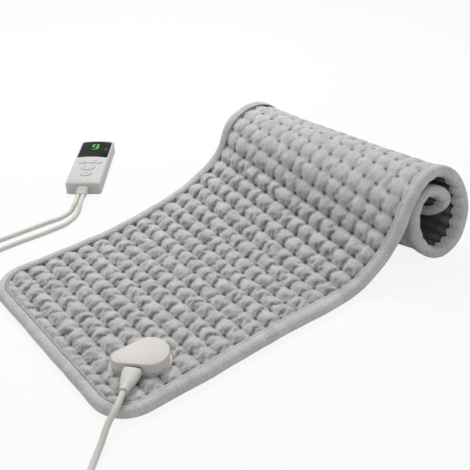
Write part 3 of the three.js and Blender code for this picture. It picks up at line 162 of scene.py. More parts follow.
plush_group, plush_in, plush_out = new_group(
    "plush_pile",
    [
        ("Vector", "NodeSocketVector", (0, 0, 0)),
        ("Colour", "NodeSocketColor", (0.5, 0.5, 0.5, 1)),
        ("Shade", "NodeSocketColor", (0.2, 0.2, 0.2, 1)),
        ("Painted shade", "NodeSocketFloat", 0.0),
        ("Pile scale", "NodeSocketFloat", 650.0),
    ],
    [("Colour", "NodeSocketColor"), ("Height", "NodeSocketFloat")],
)
pile = noise_in(plush_group, plush_in.outputs["Vector"], plush_in.outputs["Pile scale"], 3.0, 0.6)
lean = noise_in(plush_group, plush_in.outputs["Vector"], 55.0, 2.0, 0.6)
drift = range_in(plush_group, lean, 0.3, 0.7, 0.0, 0.22)
tips = range_in(plush_group, pile, 0.3, 0.72, 0.38, 0.0)
shade = math_in(plush_group, "ADD", drift, tips)
# Painted shade from the mesh's attribute darkens the pile towards the shade colour
shade = math_in(plush_group, "ADD", shade, plush_in.outputs["Painted shade"])
clamped = math_in(plush_group, "MINIMUM", shade, 1.0)
tone = mix_colours(plush_group, clamped, plush_in.outputs["Colour"], plush_in.outputs["Shade"])
plush_group.links.new(tone, plush_out.inputs["Colour"])
plush_group.links.new(math_in(plush_group, "ADD", pile, lean), plush_out.inputs["Height"])
print("group", plush_group.name)

# %% Make the moulded plastic group
plastic_group, plastic_in, plastic_out = new_group(
    "moulded_plastic",
    [
        ("Vector", "NodeSocketVector", (0, 0, 0)),
        ("Colour", "NodeSocketColor", (0.8, 0.8, 0.8, 1)),
        ("Grain scale", "NodeSocketFloat", 1800.0),
        ("Roughness", "NodeSocketFloat", 0.45),
    ],
    [("Colour", "NodeSocketColor"), ("Roughness", "NodeSocketFloat"), ("Height", "NodeSocketFloat")],
)
grain = noise_in(plastic_group, plastic_in.outputs["Vector"], plastic_in.outputs["Grain scale"], 2.0)
cloud = noise_in(plastic_group, plastic_in.outputs["Vector"], 38.0, 3.0)
soiled = mix_colours(plastic_group, 0.93, (0.46, 0.44, 0.40, 1), plastic_in.outputs["Colour"])
cloud_share = range_in(plastic_group, cloud, 0.35, 0.75, 0.0, 0.6)
tinted = mix_colours(plastic_group, cloud_share, plastic_in.outputs["Colour"], soiled)
gloss_drift = range_in(plastic_group, cloud, 0.3, 0.7, -0.05, 0.07)
gloss = math_in(plastic_group, "ADD", plastic_in.outputs["Roughness"], gloss_drift)
plastic_group.links.new(tinted, plastic_out.inputs["Colour"])
plastic_group.links.new(gloss, plastic_out.inputs["Roughness"])
plastic_group.links.new(grain, plastic_out.inputs["Height"])
print("group", plastic_group.name)


# %% Make the materials
def linear(red, green, blue):
    def one(c):
        c /= 255
        return c / 12.92 if c <= 0.04045 else ((c + 0.055) / 1.055) ** 2.4

    return (one(red), one(green), one(blue), 1)


def new_material(name):
    material = bpy.data.materials.new(name)
    material.use_nodes = True
    return material, material.node_tree, material.node_tree.nodes["Principled BSDF"]


def place_group(tree, group, vector, values):
    node = tree.nodes.new("ShaderNodeGroup")
    node.node_tree = group
    tree.links.new(vector, node.inputs["Vector"])
    for label, value in values.items():
        node.inputs[label].default_value = value
    return node


def bump(tree, shader, height, strength, distance):
    node = tree.nodes.new("ShaderNodeBump")
    node.inputs["Strength"].default_value = strength
    node.inputs["Distance"].default_value = distance
    tree.links.new(height, node.inputs["Height"])
    tree.links.new(node.outputs["Normal"], shader.inputs["Normal"])


def plush_material(name, colour, shade, sheen):
    material, tree, shader = new_material(name)
    where = tree.nodes.new("ShaderNodeTexCoord").outputs["UV"]
    # The attribute holds painted shade for the dips, the seams, the tape edges and the inside of the roll
    painted_shade = tree.nodes.new("ShaderNodeAttribute")
    painted_shade.attribute_name = "painted_shade"
    group = place_group(tree, plush_group, where, {"Colour": colour, "Shade": shade})
    tree.links.new(painted_shade.outputs["Fac"], group.inputs["Painted shade"])
    tree.links.new(group.outputs["Colour"], shader.inputs["Base Color"])
    shader.inputs["Roughness"].default_value = 0.95
    shader.inputs["Sheen Weight"].default_value = sheen
    shader.inputs["Sheen Roughness"].default_value = 0.45
    bump(tree, shader, group.outputs["Height"], 0.55, 0.001)
    return material


def plastic_material(name, colour, roughness, grain_scale=1800.0, grain_depth=0.08):
    material, tree, shader = new_material(name)
    where = tree.nodes.new("ShaderNodeTexCoord").outputs["Object"]
    values = {"Colour": colour, "Roughness": roughness, "Grain scale": grain_scale}
    group = place_group(tree, plastic_group, where, values)
    tree.links.new(group.outputs["Colour"], shader.inputs["Base Color"])
    tree.links.new(group.outputs["Roughness"], shader.inputs["Roughness"])
    bump(tree, shader, group.outputs["Height"], grain_depth, 0.0003)
    return material


def metal_material(name, colour, roughness):
    material = plastic_material(name, colour, roughness, 2600.0, 0.05)
    material.node_tree.nodes["Principled BSDF"].inputs["Metallic"].default_value = 1.0
    return material


PLUSH = plush_material("grey_plush", linear(222, 222, 222), linear(78, 78, 78), 0.3)
PLUSH_TAPE = plush_material("grey_plush_tape", linear(220, 220, 220), linear(92, 92, 92), 0.3)
# The under plush is a darker grey than the top; part of that darkness is painted shade for the inside of the
# roll
PLUSH_UNDER = plush_material("grey_plush_under", linear(160, 160, 160), linear(62, 62, 62), 0.2)
HOUSING = plastic_material("off_white_housing", linear(216, 211, 207), 0.55)
CASE = plastic_material("white_case", linear(196, 196, 195), 0.5)
CASE.node_tree.nodes["Principled BSDF"].inputs["Specular IOR Level"].default_value = 0.25
CORD_SHEATH = plastic_material("cord_sheath", linear(208, 207, 200), 0.5, 900.0, 0.12)
DARK_PLASTIC = plastic_material("dark_plastic", linear(44, 45, 48), 0.55)
LENS_BLACK = plastic_material("display_lens_black", linear(10, 10, 11), 0.08, 400.0, 0.0)
LENS_BLACK.node_tree.nodes["Principled BSDF"].inputs["Specular IOR Level"].default_value = 0.05
BOARD_GREEN = plastic_material("board_green", linear(40, 104, 66), 0.45)
FELT = plush_material("carrier_felt", linear(228, 226, 220), linear(170, 168, 160), 0.1)
WIRE_SHEATH = plastic_material("heating_wire_sheath", linear(204, 190, 166), 0.5)
THREAD = plastic_material("stitch_thread", linear(96, 96, 96), 0.8, 3000.0, 0.3)
THREAD_UNDER = plastic_material("under_thread", linear(168, 168, 168), 0.8, 3000.0, 0.3)
INK = plastic_material("grey_ink", linear(112, 113, 115), 0.6)
STEEL = metal_material("screw_steel", linear(186, 188, 192), 0.32)
BRASS = metal_material("contact_brass", linear(206, 170, 92), 0.3)
print("materials", len(bpy.data.materials))

# %% [markdown]
# ## Cords
# Two round leads leave the controller: one goes to the pad, and one goes to the wall plug with its spare
# length wound up and tied. A cord is a curve with one spline and a round bevel, so it keeps its thickness
# in every bend. The route repeats the solids' own points, and each point's handles are worked out so that
# the curve runs smoothly through it.


# %% Make helpers for places and routes
CASE_TURN, CASE_PLACE = -39.8, (92.4, 334.8, 0)
PUCK_TURN, PUCK_PLACE = 219.3, (-93, -97, 9.5)


def turned(points, degrees, shift):
    c, s = math.cos(math.radians(degrees)), math.sin(math.radians(degrees))
    return np.atleast_2d(points).astype(float) @ np.array([[c, s, 0], [-s, c, 0], [0, 0, 1]]) + shift


def from_case(points):
    return turned(points, CASE_TURN, CASE_PLACE)


def from_puck(points):
    return turned(points, PUCK_TURN, PUCK_PLACE)


def slopes(points):
    ends = np.array([2 * points[0] - points[1], *points, 2 * points[-1] - points[-2]])
    spans = np.sqrt(np.linalg.norm(np.diff(ends, axis=0), axis=1))[:, None]
    before, here, after = ends[:-2], ends[1:-1], ends[2:]
    into, out = spans[:-1], spans[1:]
    slope = (here - before) / into - (after - before) / (into + out) + (after - here) / out
    return slope * into / 3, slope * out / 3


def cord_curve(name, points, diameter):
    data = bpy.data.curves.new(name, "CURVE")
    data.dimensions = "3D"
    data.bevel_depth = diameter / 2 * MM
    data.bevel_resolution = 4
    data.resolution_u = 8
    data.use_fill_caps = True
    data.materials.append(CORD_SHEATH)
    spline = data.splines.new("BEZIER")
    spline.bezier_points.add(len(points) - 1)
    back, ahead = slopes(points)
    for point, at, left, right in zip(spline.bezier_points, points, back, ahead):
        point.co = at * MM
        point.handle_left = (at - left) * MM
        point.handle_right = (at + right) * MM
    piece = bpy.data.objects.new(name, data)
    bpy.context.scene.collection.objects.link(piece)
    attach(piece, "cordset")
    return piece, spline.calc_length()


# %% Lay the pad lead
CORD_DIAMETER = 6.8
CORD_ON_FLOOR = CORD_DIAMETER / 2
lead_floor = [
    (-167, -147, 12.8), (-180, -156.8, 7.2), (-192.3, -166.2, 4), (-206, -178), (-225, -193.5),
    (-247, -205.5), (-272, -211), (-297, -205), (-315, -190), (-325, -166), (-326, -138), (-320, -105),
    (-306, -62), (-290, -15), (-273, 35), (-255, 85), (-234, 132), (-206, 172), (-172, 199),
    (-132, 212), (-90, 214), (-50, 213), (-15, 216), (8, 229, 4.6),
]  # fmt: skip


def on_floor(points):
    return np.array([(*p, CORD_ON_FLOOR)[:3] for p in points], float)


RELIEF_END, RELIEF_HEIGHT, CORD_ASIDE = -95.4, 10, 3.8
BOOT_TIP, PLUG_ASIDE, PLUG_HEIGHT = 50.1, -5, 8.5
STRAIGHT_RUNS = (0, 11, 22)
lead_start = from_puck([(BOOT_TIP + run, PLUG_ASIDE, PLUG_HEIGHT) for run in STRAIGHT_RUNS])
lead_end = from_case([(CORD_ASIDE, RELIEF_END - run, RELIEF_HEIGHT) for run in STRAIGHT_RUNS[::-1]])
lead_route = np.vstack([lead_start, on_floor(lead_floor), lead_end])
pad_lead, lead_length = cord_curve("pad_lead_cord", lead_route, CORD_DIAMETER)
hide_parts("pad_lead")
print("pad lead", round(lead_length, 3), "m")

# %% Lay the mains lead and its coil
COIL_CENTRE = np.array([-165.0, 285.0])
COIL_RADIUS, COIL_PITCH, COIL_TURNS, COIL_STEPS = 50.0, 7.5, 6, 16
COIL_LOW, COIL_CLIMB_AT, COIL_CLIMB_TURNS = 5.0, 2.75, 0.5
turn = np.linspace(0, COIL_TURNS, COIL_TURNS * COIL_STEPS + 1)
radius = COIL_RADIUS - COIL_PITCH * np.minimum(turn, COIL_TURNS - turn)
angle = np.radians(-90 - 360 * turn)
climb = np.clip((turn - COIL_CLIMB_AT) / COIL_CLIMB_TURNS, 0, 1)
coil_z = COIL_LOW + COIL_PITCH * climb**2 * (3 - 2 * climb)
coil_x, coil_y = COIL_CENTRE[0] + radius * np.cos(angle), COIL_CENTRE[1] + radius * np.sin(angle)
coil = np.stack([coil_x, coil_y, coil_z], 1)
mains_floor = [(3, 239.5, 4.8), (-14, 234.5), (-40, 235), (-70, 235), (-100, 235), (-130, 235, 4.2)]
mains_start = from_case([(-CORD_ASIDE, RELIEF_END - run, RELIEF_HEIGHT) for run in STRAIGHT_RUNS])
tail = np.array([(-181, 235, 12.2), (-193, 235, 11.3), (-206.1, 235, 11)])
mains_route = np.vstack([mains_start, on_floor(mains_floor), coil, tail])
mains_cord, mains_length = cord_curve("mains_cord", mains_route, CORD_DIAMETER)
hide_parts("mains_lead", "mains_coil", "mains_tail")
print("mains lead", round(mains_length, 3), "m")

# %% [markdown]
# ## Rigid pieces
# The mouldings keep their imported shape, but a real moulding has no sharp edge: each one is copied, its
# triangles are merged back to plain faces, and its edges get a small rounded bevel that catches light.


# %% Dress the rigid pieces
def show(name, mesh, material, body, slot, *replaced):
    mesh.materials.clear()
    mesh.materials.append(material)
    piece = bpy.data.objects.new(name, mesh)
    bpy.context.scene.collection.objects.link(piece)
    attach(piece, body)
    if replaced:
        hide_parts(*replaced)
    return piece


def dress(node, material, slot, edge, sharp=38):
    mesh = nodes[node].data.copy()
    shape = bmesh.new()
    shape.from_mesh(mesh)
    bmesh.ops.remove_doubles(shape, verts=shape.verts, dist=1e-6)
    bmesh.ops.dissolve_limit(shape, angle_limit=math.radians(0.2), verts=shape.verts, edges=shape.edges)
    shape.to_mesh(mesh)
    shape.free()
    mesh.shade_smooth()
    mesh.set_sharp_from_angle(angle=math.radians(sharp))
    piece = show(node + "_moulded", mesh, material, body_of(nodes[node])[0], slot, node)
    bevel = piece.modifiers.new("rounded_edges", "BEVEL")
    bevel.width = edge * MM
    bevel.segments = 3
    bevel.limit_method = "ANGLE"
    bevel.angle_limit = math.radians(sharp)
    bevel.harden_normals = True
    return piece


for node, *finish in (
    ("connector_base", HOUSING, "housing", 0.3),
    ("connector_lid", HOUSING, "housing", 0.5),
    ("lead_boot", CORD_SHEATH, "cord", 0.4, 50),
    ("controller_back", CASE, "case", 0.4),
    ("controller_front", CASE, "case", 0.35),
    ("display_lens", LENS_BLACK, "lens", 0.25),
    ("level_rocker", CASE, "case", 0.4),
    ("mode_button", CASE, "case", 0.4),
    ("power_button", CASE, "case", 0.4),
    ("cord_relief", CORD_SHEATH, "cord", 0.4),
    ("plug_boot", CORD_SHEATH, "cord", 0.3, 50),
    ("plug_body", CORD_SHEATH, "cord", 1.2),
    ("cord_tie", DARK_PLASTIC, "dark_plastic", 0.3),
    ("plug_blade_1", BRASS, "brass", 0.2),
    ("plug_blade_2", BRASS, "brass", 0.2),
):
    dress(node, *finish)

# %% Say what the cords are
print("cords made")

# %% [markdown]
# ## The shape of the lying pad
# The pad is one soft sheet, flat at the front and rolled up at its far end. Every layer of it is made flat,
# with a place along the pad, a place across it and a height, and is then carried into the room by one rule.
# The rule follows the near and the far edge, which rise and roll differently, and blends between them. The
# far edge also sags a little where it leaves the floor.


# %% Carry a flat place into the room
PAD_WIDTH, PAD_LENGTH, PAD_TOP, BEND_PLANE, FROM_END = 306.0, 888.2, 13.0, 6.0, 164.0
SWAY_AT, SWAY_BY = (206, 436, 536, 696, 818, 859), (0, 10, -2, 24, -10, 0)
# Each pair is the value at the near edge and at the far edge
FRONT_FLAT, RISE_RADIUS, STEEP_RADIUS = (323.3, 143.2), (73.5, 429.5), (120.6, 57.4)
OUTER_RADIUS, UNDER_RADIUS, FIRST_TURN, SECOND_TURN = (65, 61), (48, 56), (26.4, 28.6), (35.4, 37)
INNER_RADIUS, INNER_TURN, CORE_RADIUS, CORE_SPARE = 40, 170, 28, 4
FAR_SAG, SAG_STARTS, SAG_ENDS, SAG_SHARE = 7, (206, 316), (386, 436), 0.84


def smooth(x, low, high):
    t = np.clip((x - low) / (high - low), 0, 1)
    return t * t * (3 - 2 * t)


def sway(s):
    step = np.clip(np.searchsorted(SWAY_AT, s, side="right"), 1, len(SWAY_AT) - 1)
    low, high = np.take(SWAY_BY, step - 1), np.take(SWAY_BY, step)
    return low + (high - low) * smooth(s, np.take(SWAY_AT, step - 1), np.take(SWAY_AT, step))


def bends_at(share):
    def mix(near, far):
        return near + (far - near) * share

    rise, steep = mix(*RISE_RADIUS), mix(*STEEP_RADIUS)
    outer, under = mix(*OUTER_RADIUS), mix(*UNDER_RADIUS)
    first = np.radians(mix(*FIRST_TURN))
    full = first + np.radians(mix(*SECOND_TURN))
    lift = rise * (1 - np.cos(first)) + steep * (np.cos(first) - np.cos(full))
    straight = (PAD_TOP - 2 * BEND_PLANE + outer * np.cos(full) + under - lift) / np.sin(full)
    bends = [
        (mix(*FRONT_FLAT), None),
        (rise * first, 1 / rise),
        (steep * (full - first), 1 / steep),
        (straight, None),
        (outer * (full + np.pi / 2), -1 / outer),
        (under * np.pi / 2, -1 / under),
        (INNER_RADIUS * np.radians(INNER_TURN) + 0 * share, -1 / INNER_RADIUS),
    ]
    used = sum(length for length, bend in bends)
    core = np.maximum(PAD_LENGTH - CORE_SPARE - used, 0)
    return bends + [(core, -1 / CORE_RADIUS), (PAD_LENGTH + 0 * share, None)]


def roll_start(v):
    return sum(length for length, bend in bends_at(v / PAD_WIDTH + 0.5)[:4])


def on_sheet(s, v, h):
    s, v, h = (np.array(a, float) for a in np.broadcast_arrays(s, v, h))
    share = v / PAD_WIDTH + 0.5
    x, z, lean, left = -FROM_END + 0 * s, BEND_PLANE + 0 * s, 0 * s, s.copy()
    for length, bend in bends_at(share):
        run = np.minimum(left, length)
        if bend is None:
            x, z = x + run * np.cos(lean), z + run * np.sin(lean)
        else:
            after = lean + run * bend
            x, z = x + (np.sin(after) - np.sin(lean)) / bend, z - (np.cos(after) - np.cos(lean)) / bend
            lean = after
        left = left - run
    sag = FAR_SAG * smooth(s, *SAG_STARTS) * (1 - smooth(s, *SAG_ENDS)) * smooth(share, SAG_SHARE, 1)
    off = h - BEND_PLANE - sag
    return np.stack([x - off * np.sin(lean), v - sway(s) * (1 - share), z + off * np.cos(lean)], -1)


print("rolled end at", on_sheet(PAD_LENGTH, 0, 6).round(1))

# %% [markdown]
# ## The outline of the pad
# The corners are cut round, wide ones at the front and tight ones at the rolled end. A square grid is drawn
# in to them gently, so the dots of the quilt stay on straight rows until close to the edge.


# %% Draw a grid in to the round corners
FRONT_CORNER, ROLLED_CORNER, TAPE, RIM_INSET, CALM_WIDTH = 45.0, 26.5, 14.5, 3.5, 16
END_MARGIN, SIDE_MARGIN = 26.5, 16.5


def corner_radius(s):
    return np.where(s < PAD_LENGTH / 2, FRONT_CORNER, ROLLED_CORNER)


def out_of_centre(s, v):
    radius = corner_radius(s)
    centre_s = np.clip(s, radius, PAD_LENGTH - radius)
    centre_v = np.clip(v, radius - PAD_WIDTH / 2, PAD_WIDTH / 2 - radius)
    return radius, centre_s, centre_v, s - centre_s, v - centre_v


def rounded_in(s, v):
    radius, centre_s, centre_v, out_s, out_v = out_of_centre(s, v)
    far = np.maximum(np.hypot(out_s, out_v), 1e-9)
    square = np.maximum(np.maximum(np.abs(out_s), np.abs(out_v)), 1e-9)
    calm, edge = radius - CALM_WIDTH, radius - RIM_INSET
    pulled = calm + (edge - calm) * (far - calm) / (edge * far / square - calm)
    scale = np.where((out_s != 0) & (out_v != 0) & (far > calm), pulled / far, 1.0)
    return centre_s + out_s * scale, centre_v + out_v * scale


def edge_distance(s, v):
    radius, centre_s, centre_v, out_s, out_v = out_of_centre(s, v)
    straight = np.minimum(np.minimum(s, PAD_LENGTH - s), PAD_WIDTH / 2 - np.abs(v))
    return np.where((out_s != 0) & (out_v != 0), radius - np.hypot(out_s, out_v), straight)


corner_dot = rounded_in(np.array(END_MARGIN), np.array(PAD_WIDTH / 2 - SIDE_MARGIN))
print("corner dot drawn in to", [round(float(a), 1) for a in corner_dot])

# %% [markdown]
# ## The quilted cover
# The cover is short plush over wadding. It is sewn in straight rows across the pad and caught down at a
# grid of dots, so each cell swells to a small pillow. The pillows could be drawn by a formula, but cloth
# folds from dot to dot in its own way, so the flat cover is blown up by Blender's cloth: the dots and the
# rim are pinned, the rows are held by a weaker pull, and the cloth is cut a tenth too large. At the
# connector the cloth is drawn up to the housing.

# %% Lay out the flat cover
CELLS_ALONG, CELLS_ACROSS, SUB = 36, 14, 10
END_STEPS, SIDE_STEPS = 10, 6
CELL_LENGTH = (PAD_LENGTH - 2 * END_MARGIN) / CELLS_ALONG
CELL_WIDTH = (PAD_WIDTH - 2 * SIDE_MARGIN) / CELLS_ACROSS
DOT_HEIGHT, COVER_UNDER, RIM_HEIGHT, HUG_HEIGHT = 8.0, 7.5, 10.2, 11.6


def stretch(lines, low, high, steps):
    before = np.linspace(low, lines[0], steps + 1)[:-1]
    after = np.linspace(lines[-1], high, steps + 1)[1:]
    return np.concatenate([before, lines, after])


def grid_faces(rows, columns):
    index = np.arange(rows * columns).reshape(rows, columns)
    corners = (index[:-1, :-1], index[1:, :-1], index[1:, 1:], index[:-1, 1:])
    return np.stack(corners, -1).reshape(-1, 4)


quilt_s = END_MARGIN + np.arange(CELLS_ALONG * SUB + 1) * CELL_LENGTH / SUB
quilt_v = SIDE_MARGIN - PAD_WIDTH / 2 + np.arange(CELLS_ACROSS * SUB + 1) * CELL_WIDTH / SUB
cover_s = stretch(quilt_s, RIM_INSET, PAD_LENGTH - RIM_INSET, END_STEPS)
cover_v = stretch(quilt_v, RIM_INSET - PAD_WIDTH / 2, PAD_WIDTH / 2 - RIM_INSET, SIDE_STEPS)
flat_s, flat_v = np.meshgrid(cover_s, cover_v, indexing="ij")
row = np.arange(len(cover_s))[:, None] - END_STEPS + 0 * np.arange(len(cover_v))
column = np.arange(len(cover_v)) - SIDE_STEPS + 0 * row
in_rows = (row >= 0) & (row <= CELLS_ALONG * SUB)
in_columns = (column >= 0) & (column <= CELLS_ACROSS * SUB)
on_row = (row % SUB == 0) & in_rows
dots = on_row & (column % SUB == 0) & in_columns
rim = (flat_s == cover_s[0]) | (flat_s == cover_s[-1]) | (flat_v == cover_v[0]) | (flat_v == cover_v[-1])
print("cover grid", flat_s.shape, "dots", int(dots.sum()))

# %% [markdown]
# ## Where the connector stands
# The connector's outline is the hull of a large and a small circle. The distance of each place on the
# cover from that outline says where the cloth is cut out, where it lies over the flange and where it is
# free. On the right-hand side the cloth has slipped off the flange, as in the photograph.


# %% Measure the cover from the connector
PUCK_S, PUCK_V = FROM_END + PUCK_PLACE[0], PUCK_PLACE[1]
PUCK_COS, PUCK_SIN = math.cos(math.radians(PUCK_TURN)), math.sin(math.radians(PUCK_TURN))
LARGE_CIRCLE, SMALL_CIRCLE = (-5, 6, 21.5), (9, -21.5, 10)
BOOT_HALF, BOOT_PATH_MIDDLE, BOOT_PATH_HALF, BOOT_SIDE, BOOT_SLOPE = 9, 43, 30, 8, 0.5
FLANGE_REACH, HUG_REACH = 2.6, 9


def from_connector(s, v):
    x, y = s - PUCK_S, v - PUCK_V
    along, aside = PUCK_COS * x + PUCK_SIN * y, PUCK_COS * y - PUCK_SIN * x
    t = np.linspace(0, 1, 41).reshape(-1, 1, 1)
    circles = zip(LARGE_CIRCLE, SMALL_CIRCLE)
    centre_x, centre_y, radius = (large + (small - large) * t for large, small in circles)
    out_x, out_y = along - centre_x, aside - centre_y
    reach = np.hypot(out_x, out_y) - radius
    nearest = np.argmin(reach, axis=0)[None]
    reach, out_x, out_y = (np.take_along_axis(a, nearest, 0)[0] for a in (reach, out_x, out_y))
    size = np.maximum(np.hypot(out_x, out_y), 1e-9)
    out_s = (PUCK_COS * out_x - PUCK_SIN * out_y) / size
    out_v = (PUCK_SIN * out_x + PUCK_COS * out_y) / size
    beside = np.abs(aside - PLUG_ASIDE) - BOOT_HALF
    beyond = np.abs(along - BOOT_PATH_MIDDLE) - BOOT_PATH_HALF
    return reach, out_s, out_v, np.maximum(beside, beyond)


def under_boot(height, boot_reach, limit):
    lowered = np.minimum(height, limit + BOOT_SLOPE * np.maximum(boot_reach, 0))
    return np.where(boot_reach < BOOT_SIDE, lowered, height)


reach, out_s, out_v, boot_reach = from_connector(flat_s, flat_v)
slipped = smooth(0.77 * out_s - 0.64 * out_v, 0.8, 0.97)
hole_edge = 0.4 + 2.3 * slipped
hug = (1 - smooth(reach, FLANGE_REACH, HUG_REACH)) * (1 - slipped)
print("cover points over the flange", int((hug > 0.99).sum()))


# %% Swell the cover
def swell(caught, lift, held):
    shrunk = 0.01
    start = np.stack([flat_s, flat_v, lift], -1).reshape(-1, 3) * shrunk
    free = ~caught.ravel()
    start[free, 2] += 0.004 + 0.004 * np.random.default_rng(3).random(free.sum())
    mesh = bpy.data.meshes.new("swelling")
    mesh.from_pydata(start.tolist(), [], grid_faces(*flat_s.shape).tolist())
    cloth_piece = bpy.data.objects.new("swelling", mesh)
    bpy.context.scene.collection.objects.link(cloth_piece)
    group = cloth_piece.vertex_groups.new(name="caught")
    group.add(np.flatnonzero((held & ~caught).ravel()).tolist(), 0.5, "ADD")
    group.add(np.flatnonzero(caught.ravel()).tolist(), 1.0, "ADD")
    cloth = cloth_piece.modifiers.new("swell", "CLOTH")
    settings = cloth.settings
    settings.quality = 4
    settings.mass = 0.3
    settings.tension_stiffness = settings.compression_stiffness = 15
    settings.tension_damping = settings.compression_damping = settings.shear_damping = 5
    settings.shear_stiffness = 5
    settings.bending_stiffness = 4
    settings.use_pressure = True
    settings.uniform_pressure_force = 8
    settings.shrink_min = -0.1
    settings.vertex_group_mass = "caught"
    settings.effector_weights.gravity = 0
    cloth.collision_settings.use_collision = False
    for step in range(1, 25):
        bpy.context.scene.frame_set(step)
    evaluated = cloth_piece.evaluated_get(bpy.context.evaluated_depsgraph_get())
    places = np.zeros(len(start) * 3, np.float32)
    evaluated.to_mesh().vertices.foreach_get("co", places)
    evaluated.to_mesh_clear()
    bpy.data.objects.remove(cloth_piece)
    bpy.context.scene.frame_set(1)
    return places.reshape(*flat_s.shape, 3) / shrunk


at_flange = reach < FLANGE_REACH
caught = dots | rim | at_flange
lift = np.where(rim, RIM_HEIGHT - DOT_HEIGHT, 0) + np.where(at_flange, (HUG_HEIGHT - DOT_HEIGHT) * hug, 0)
swollen = swell(caught, lift, on_row & in_columns)
inside_cells = (row % SUB == SUB // 2) & (column % SUB == SUB // 2) & in_rows & in_columns
print("pillow height", round(float(np.median(swollen[inside_cells][:, 2])), 2), "mm")

# %% [markdown]
# ## The cover as a closed layer
# The swollen sheet becomes the top of a thin closed layer. On the flat the pillows are full, and over the
# roll the cloth is pulled tight and they are shallow. Each point keeps its flat place as a UV, so the pile
# follows the cloth round the roll, and a painted shade value that is high at the dots and in the rows,
# where shade falls in the dips. Slopes that face the front, away from the high lamp, get painted shade
# too, so the pillows are darker on the side that the lamp does not reach.


# %% Make helpers for layers
def lay_uv(mesh, places):
    corners = np.zeros(len(mesh.loops), np.int32)
    mesh.loops.foreach_get("vertex_index", corners)
    layer = mesh.uv_layers.new(name="flat_place")
    layer.data.foreach_set("uv", places[corners].astype(np.float32).ravel())


# Stores the painted shade that darkens the plush colour
def mark_painted_shade(mesh, painted_shade):
    mark = mesh.attributes.new("painted_shade", "FLOAT", "POINT")
    mark.data.foreach_set("value", painted_shade.astype(np.float32).ravel())


def layer_mesh(name, flat, painted_shade, top, bottom, keep=None, under_painted_shade=None):
    count = top[..., 0].size
    upper = grid_faces(*top.shape[:2])
    if keep is not None:
        upper = upper[keep]
    ahead = np.stack([upper, np.roll(upper, -1, axis=1)], -1).reshape(-1, 2)
    twin = np.isin(ahead[:, 1] * count + ahead[:, 0], ahead[:, 0] * count + ahead[:, 1])
    start, end = ahead[~twin].T
    walls = np.stack([end, start, start + count, end + count], -1)
    points = np.concatenate([top.reshape(-1, 3), bottom.reshape(-1, 3)]) * MM
    faces = np.concatenate([upper, upper[:, ::-1] + count, walls])
    used = np.unique(faces)
    renamed = np.zeros(len(points), int)
    renamed[used] = np.arange(len(used))
    mesh = bpy.data.meshes.new(name)
    mesh.from_pydata(points[used].tolist(), [], renamed[faces].tolist())
    lay_uv(mesh, np.concatenate([flat.reshape(-1, 2)] * 2)[used] * MM)
    under = 0 * painted_shade if under_painted_shade is None else under_painted_shade
    mark_painted_shade(mesh, np.concatenate([painted_shade.ravel(), under.ravel()])[used])
    mesh.shade_smooth()
    return mesh


# %% Build the quilted cover
DIMPLE, CREASE, ROW_VALLEY, ROW_DEPTH, ROLL_PULL = (2.4, 2.2), 1.3, 3.5, 0.5, 0.6
SHADE_SLOPE_WAY, SLOPE_SHADE_STRENGTH, COVER_UNDER_BOOT = (0.37, 0.93), 0.55, 11.5
nearest_row = np.clip(np.round((flat_s - END_MARGIN) / CELL_LENGTH), 0, CELLS_ALONG) * CELL_LENGTH
first_column = SIDE_MARGIN - PAD_WIDTH / 2
nearest_column = np.clip(np.round((flat_v - first_column) / CELL_WIDTH), 0, CELLS_ACROSS) * CELL_WIDTH
from_row = flat_s - (nearest_row + END_MARGIN)
from_column = flat_v - nearest_column - first_column
dimple = np.exp(-((from_row / DIMPLE[0]) ** 2) - (from_column / DIMPLE[1]) ** 2)
crease = np.exp(-((from_row / CREASE) ** 2))
tight = smooth(flat_s - roll_start(flat_v), -40, 40)
row_valley = np.exp(-((from_row / ROW_VALLEY) ** 2)) * in_rows
pillow = swollen[..., 2] * (1 - ROLL_PULL * tight) * (1 - ROW_DEPTH * row_valley)
height = DOT_HEIGHT + pillow
height = under_boot(height, boot_reach, COVER_UNDER_BOOT)
height = np.maximum(height, hug * HUG_HEIGHT)
inside = reach < hole_edge
push = np.where(inside, hole_edge - reach, 0)
keep = ~inside.ravel()[grid_faces(*flat_s.shape)].all(axis=1)
placed_s, placed_v = rounded_in(swollen[..., 0] + push * out_s, swollen[..., 1] + push * out_v)
from_edge = edge_distance(placed_s, placed_v)
under_tape = RIM_HEIGHT + 0.07 * (from_edge - RIM_INSET) + 2.5 * np.maximum(from_edge - TAPE, 0)
height = np.minimum(height, under_tape)
under = COVER_UNDER + (HUG_HEIGHT - 0.7 - COVER_UNDER) * (1 - smooth(reach, 2.4, 6)) * (1 - slipped)
height = np.maximum(height, under + 0.4)
# Painted shade: slopes that face the front, away from the high lamp, are darkened in colour
rise_s = np.gradient(height, axis=0) / np.gradient(flat_s, axis=0)
rise_v = np.gradient(height, axis=1) / np.gradient(flat_v, axis=1)
facing = (SHADE_SLOPE_WAY[0] * rise_s + SHADE_SLOPE_WAY[1] * rise_v) / np.sqrt(1 + rise_s**2 + rise_v**2)
painted_slope_shade = SLOPE_SHADE_STRENGTH * smooth(facing, 0.0, 0.7)
# Painted shade in the dots and along the rows, where shade falls in the dips, added to the painted slope
# shade
painted_shade = np.clip(0.85 * dimple + 0.3 * crease * (1 - tight) + painted_slope_shade, 0, 1)
painted_shade = painted_shade * (reach > 2) * (from_edge > TAPE)
top, bottom = on_sheet(placed_s, placed_v, height), on_sheet(placed_s, placed_v, under)
top[..., 2] = np.maximum(top[..., 2], 0.1)
flat_place = np.stack([flat_s, flat_v], -1)
cover_mesh = layer_mesh("quilted_cover", flat_place, painted_shade, top, bottom, keep)
cover = show("quilted_cover", cover_mesh, PLUSH, "pad", "plush", "pad_top_cover")
print("cover faces", len(cover_mesh.polygons), "lowest point", round(float(top[..., 2].min()), 2))

